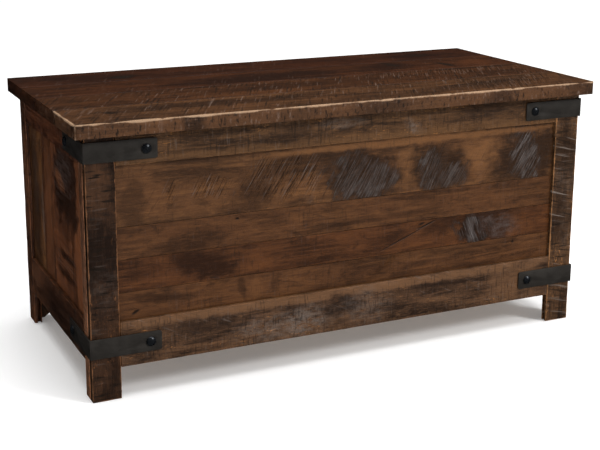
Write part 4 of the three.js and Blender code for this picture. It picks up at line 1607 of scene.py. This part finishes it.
@dataclass
class LidStay:
    """A slotted arm that hangs from the lid and slides along a headed pin on the side wall."""

    brass: bpy.types.Material
    screws: ScrewBox
    thick: float = 2.5 * MM
    half_wide: float = 7.5 * MM
    slot_half: float = 3.25 * MM
    pin: float = 3 * MM
    gap: float = 0.25 * MM
    corner: float = 4 * MM
    opening: float = 100.0

    def build(self) -> None:
        """Makes arm, lid bracket and guide."""
        self.pivot = joint_place("stay_swing")
        low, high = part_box("stay_guide")
        self.build_arm()
        self.build_bracket()
        self.build_guide(low, high)

    def stadium(self, name: str, start: float, end: float, half: float, thick: float) -> Piece:
        """A bar along X with round ends, centred on X and rising from zero along Z."""
        bar = block(name, Vector((start, -half, 0)), Vector((end, half, thick)))
        return ease(bar, half * 0.98, 10, along_axis(2))

    def build_arm(self) -> Piece:
        """Makes the slotted arm.

        Returns:
            The arm.
        """
        low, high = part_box("stay_arm")
        guide_low, guide_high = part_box("stay_guide")
        guide = Vector((0, (guide_low.y + guide_high.y) / 2, guide_low.z + 9 * MM))
        chord = Vector((guide.y - self.pivot.y, guide.z - self.pivot.z))
        near = chord.length
        direction = math.degrees(math.atan2(chord.y, chord.x))
        radius = (self.pivot - joint_place("lid_hinge")).yz.length
        start_angle = 2 * math.asin(near / 2 / radius)
        far = 2 * radius * math.sin((start_angle + math.radians(self.opening)) / 2)
        end = far + self.slot_half + self.half_wide - self.pin
        arm = self.stadium("stay_arm_brass", -self.half_wide, end, self.half_wide, self.thick)
        slot = self.stadium("slot_cutter", near - self.slot_half, far + self.slot_half, self.slot_half,
                            self.thick + 4 * MM)
        cut_away(arm, laid(slot, Vector((0, 0, -2 * MM))))
        cut_away(arm, laid(disc("eye_cutter", self.pin + self.gap / 2, self.thick + 4 * MM, 24),
                           Vector((0, 0, -2 * MM))))
        ease(arm, 0.4 * MM, 2)
        arm = laid(arm, Vector(), (0, 0, direction))
        turn = Matrix(((0, 0, 1), (1, 0, 0), (0, 1, 0))).to_euler()
        arm.rotation_euler = turn
        arm.location = (low.x, self.pivot.y, self.pivot.z)
        arm = settle(arm)
        return dress(arm, self.brass, "stay_arm", "antique_brass", "stay_arm")

    def build_bracket(self) -> Piece:
        """Makes the bent bracket under the lid with the rivet that the arm turns on."""
        low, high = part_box("stay_lid_bracket")
        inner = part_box("stay_arm")[0].x - self.gap
        outer = inner + self.gap + self.thick
        cheek = block("stay_lid_bracket_brass", Vector((inner - self.thick, low.y, low.z)),
                      Vector((inner, high.y, high.z)))
        ease(cheek, self.corner, 6, lying_at(2, low.z, 0, True))
        foot = block("foot", Vector((low.x, low.y, high.z - self.thick)), Vector((inner, high.y, high.z)))
        ease(foot, self.corner, 6, lying_at(0, low.x, 2, True))
        weld(cheek, foot)
        places = [Vector((low.x + 9 * MM, self.pivot.y + shift, high.z - self.thick))
                  for shift in (-9 * MM, 9 * MM)]
        self.screws.fix("stay_bracket_screws", cheek, places, (180, 0, 0), "lid", 61)
        ease(cheek, 0.35 * MM, 2)
        pin = laid(disc("pivot_pin", self.pin, outer + self.gap * 2 - inner + self.thick, 24),
                   Vector((inner - self.thick, self.pivot.y, self.pivot.z)), (0, 90, 0))
        rivet = disc("rivet", 5 * MM, 1.5 * MM, 32)
        ease(rivet, 0.9 * MM, 4, lambda a, b: a.z > 1.4 * MM and b.z > 1.4 * MM)
        rivet = laid(rivet, Vector((outer + self.gap, self.pivot.y, self.pivot.z)), (0, 90, 0))
        weld(cheek, pin, rivet)
        return dress(cheek, self.brass, "lid", "antique_brass", "stay_lid_bracket")

    def build_guide(self, low: Vector, high: Vector) -> Piece:
        """Makes the plate on the side wall with its shoulder and headed pin."""
        y, z = (low.y + high.y) / 2, low.z + 9 * MM
        arm_low, arm_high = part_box("stay_arm")
        plate = block("stay_guide_brass", Vector((high.x - self.thick, low.y, low.z)), high.copy())
        ease(plate, 3.5 * MM, 6, along_axis(0))
        places = [Vector((high.x - self.thick, y + shift, z + 12.5 * MM)) for shift in (-8 * MM, 8 * MM)]
        self.screws.fix("stay_guide_screws", plate, places, (0, -90, 0), "case", 62)
        ease(plate, 0.35 * MM, 2)
        shoulder = laid(disc("shoulder", 6 * MM, high.x - arm_high.x - self.gap * 2, 32),
                        Vector((arm_high.x + self.gap, y, z)), (0, 90, 0))
        ease(shoulder, 0.4 * MM, 2)
        start = arm_low.x - self.gap - 2 * MM
        pin = laid(disc("guide_pin", self.pin, high.x - self.gap - start - 1 * MM, 24),
                   Vector((start + 1 * MM, y, z)), (0, 90, 0))
        head = disc("guide_head", 5.5 * MM, 2 * MM, 32)
        ease(head, 1.1 * MM, 4, lambda a, b: a.z < 1e-5 and b.z < 1e-5)
        head = laid(head, Vector((start, y, z)), (0, 90, 0))
        weld(plate, shoulder, pin, head)
        return dress(plate, self.brass, "case", "antique_brass", "stay_guide")


# ---- studio -----------------------------------------------------------------------------------------------


@dataclass(frozen=True)
class SoftBox:
    """One area light: where it stands, what it points at, its size and strength."""

    name: str
    place: tuple[float, float, float]
    aim: tuple[float, float, float]
    size: float
    power: float
    colour: Colour = (1, 1, 1)

    def build(self) -> None:
        """Hangs the light."""
        data = bpy.data.lights.new(self.name, "AREA")
        data.shape, data.size, data.energy, data.color = "DISK", self.size, self.power, self.colour
        light = bpy.data.objects.new(self.name, data)
        light.location = self.place
        light.rotation_euler = (Vector(self.aim) - Vector(self.place)).to_track_quat("-Z", "Y").to_euler()
        bpy.context.scene.collection.objects.link(light)


@dataclass
class Studio:
    """A plain pale floor, soft lights and the camera."""

    camera_place: tuple[float, float, float] = (-1.1485, -2.4273, 1.0164)
    yaw: float = 25.33
    pitch: float = -13.65
    roll: float = 0.28
    lens: float = 73.64
    shift: float = -0.1
    floor_half: float = 30.0
    floor_colour: Colour = (0.90, 0.90, 0.90)
    floor_glow: float = 0.14
    ambient: float = 0.40

    def build(self) -> None:
        """Sets up camera, floor and lights."""
        self.build_camera()
        self.build_floor()
        world = bpy.data.worlds.new("studio_air")
        world.use_nodes = True
        background = world.node_tree.nodes["Background"]
        background.inputs["Color"].default_value = (1, 1, 1, 1)
        background.inputs["Strength"].default_value = self.ambient
        world.cycles_visibility.glossy = False
        bpy.context.scene.world = world
        bpy.context.scene.view_settings.view_transform = "Standard"
        sun = bpy.data.lights.new("sky_light", "SUN")
        sun.energy, sun.angle = 1.7, math.radians(46)
        bpy.context.scene.collection.objects.link(bpy.data.objects.new("sky_light", sun))
        for light in (
            SoftBox("key_light", (3.0, -3.6, 3.4), (0, -0.1, 0.3), 1.6, 150),
            SoftBox("top_light", (0.2, -0.6, 6.0), (0, -0.2, 0), 5.0, 160),
        ):
            light.build()

    def build_camera(self) -> None:
        """Stands the camera where the chest is seen from its front left, from a little above."""
        data = bpy.data.cameras.new("studio_camera")
        data.lens, data.sensor_width, data.shift_y = self.lens, 36, self.shift
        camera = bpy.data.objects.new("studio_camera", data)
        bpy.context.scene.collection.objects.link(camera)
        yaw, pitch = math.radians(self.yaw), math.radians(self.pitch)
        ahead = Vector((math.sin(yaw) * math.cos(pitch), math.cos(yaw) * math.cos(pitch), math.sin(pitch)))
        roll = Matrix.Rotation(math.radians(self.roll), 3, "Z").to_quaternion()
        turn = ahead.to_track_quat("-Z", "Y") @ roll
        camera.rotation_euler = turn.to_euler()
        camera.location = self.camera_place
        bpy.context.scene.camera = camera

    def build_floor(self) -> None:
        """Lays the pale floor."""
        deselect()
        bpy.ops.mesh.primitive_plane_add(size=self.floor_half * 2)
        floor = bpy.context.active_object
        floor.name = "studio_floor"
        sheet = NodeSheet("studio_floor")
        sheet.shader.inputs["Base Color"].default_value = (*self.floor_colour, 1)
        sheet.shader.inputs["Roughness"].default_value = 0.9
        sheet.shader.inputs["Specular IOR Level"].default_value = 0.1
        sheet.shader.inputs["Emission Color"].default_value = (1, 1, 1, 1)
        sheet.shader.inputs["Emission Strength"].default_value = self.floor_glow
        floor.data.materials.append(sheet.material)
        floor.visible_glossy = False


def main() -> None:
    """Builds the chest from the walls up, then the studio."""
    logging.basicConfig(level=logging.INFO, format="%(name)s %(message)s")
    screws = ScrewBox()
    WallBuild(Wall.FRONT, ("stile_left", "stile_right"), 4, True).build()
    WallBuild(Wall.LEFT, ("stile_front", "stile_back"), 3, False).build()
    WallBuild(Wall.RIGHT, ("stile_front", "stile_back"), 3, False).build()
    WallBuild(Wall.BACK, ("stile_right", "stile_left"), 3, True).build()
    CaseFloor().build()
    CornerIrons().build()
    brass = BRASS.material()
    for side in ("left", "right"):
        Hinge(side, brass, screws).build()
    LidStay(brass, screws).build()
    Lid().build(screws)
    discard(screws.pattern)
    Studio().build()
    deselect()


if __name__ == "__main__":
    main()
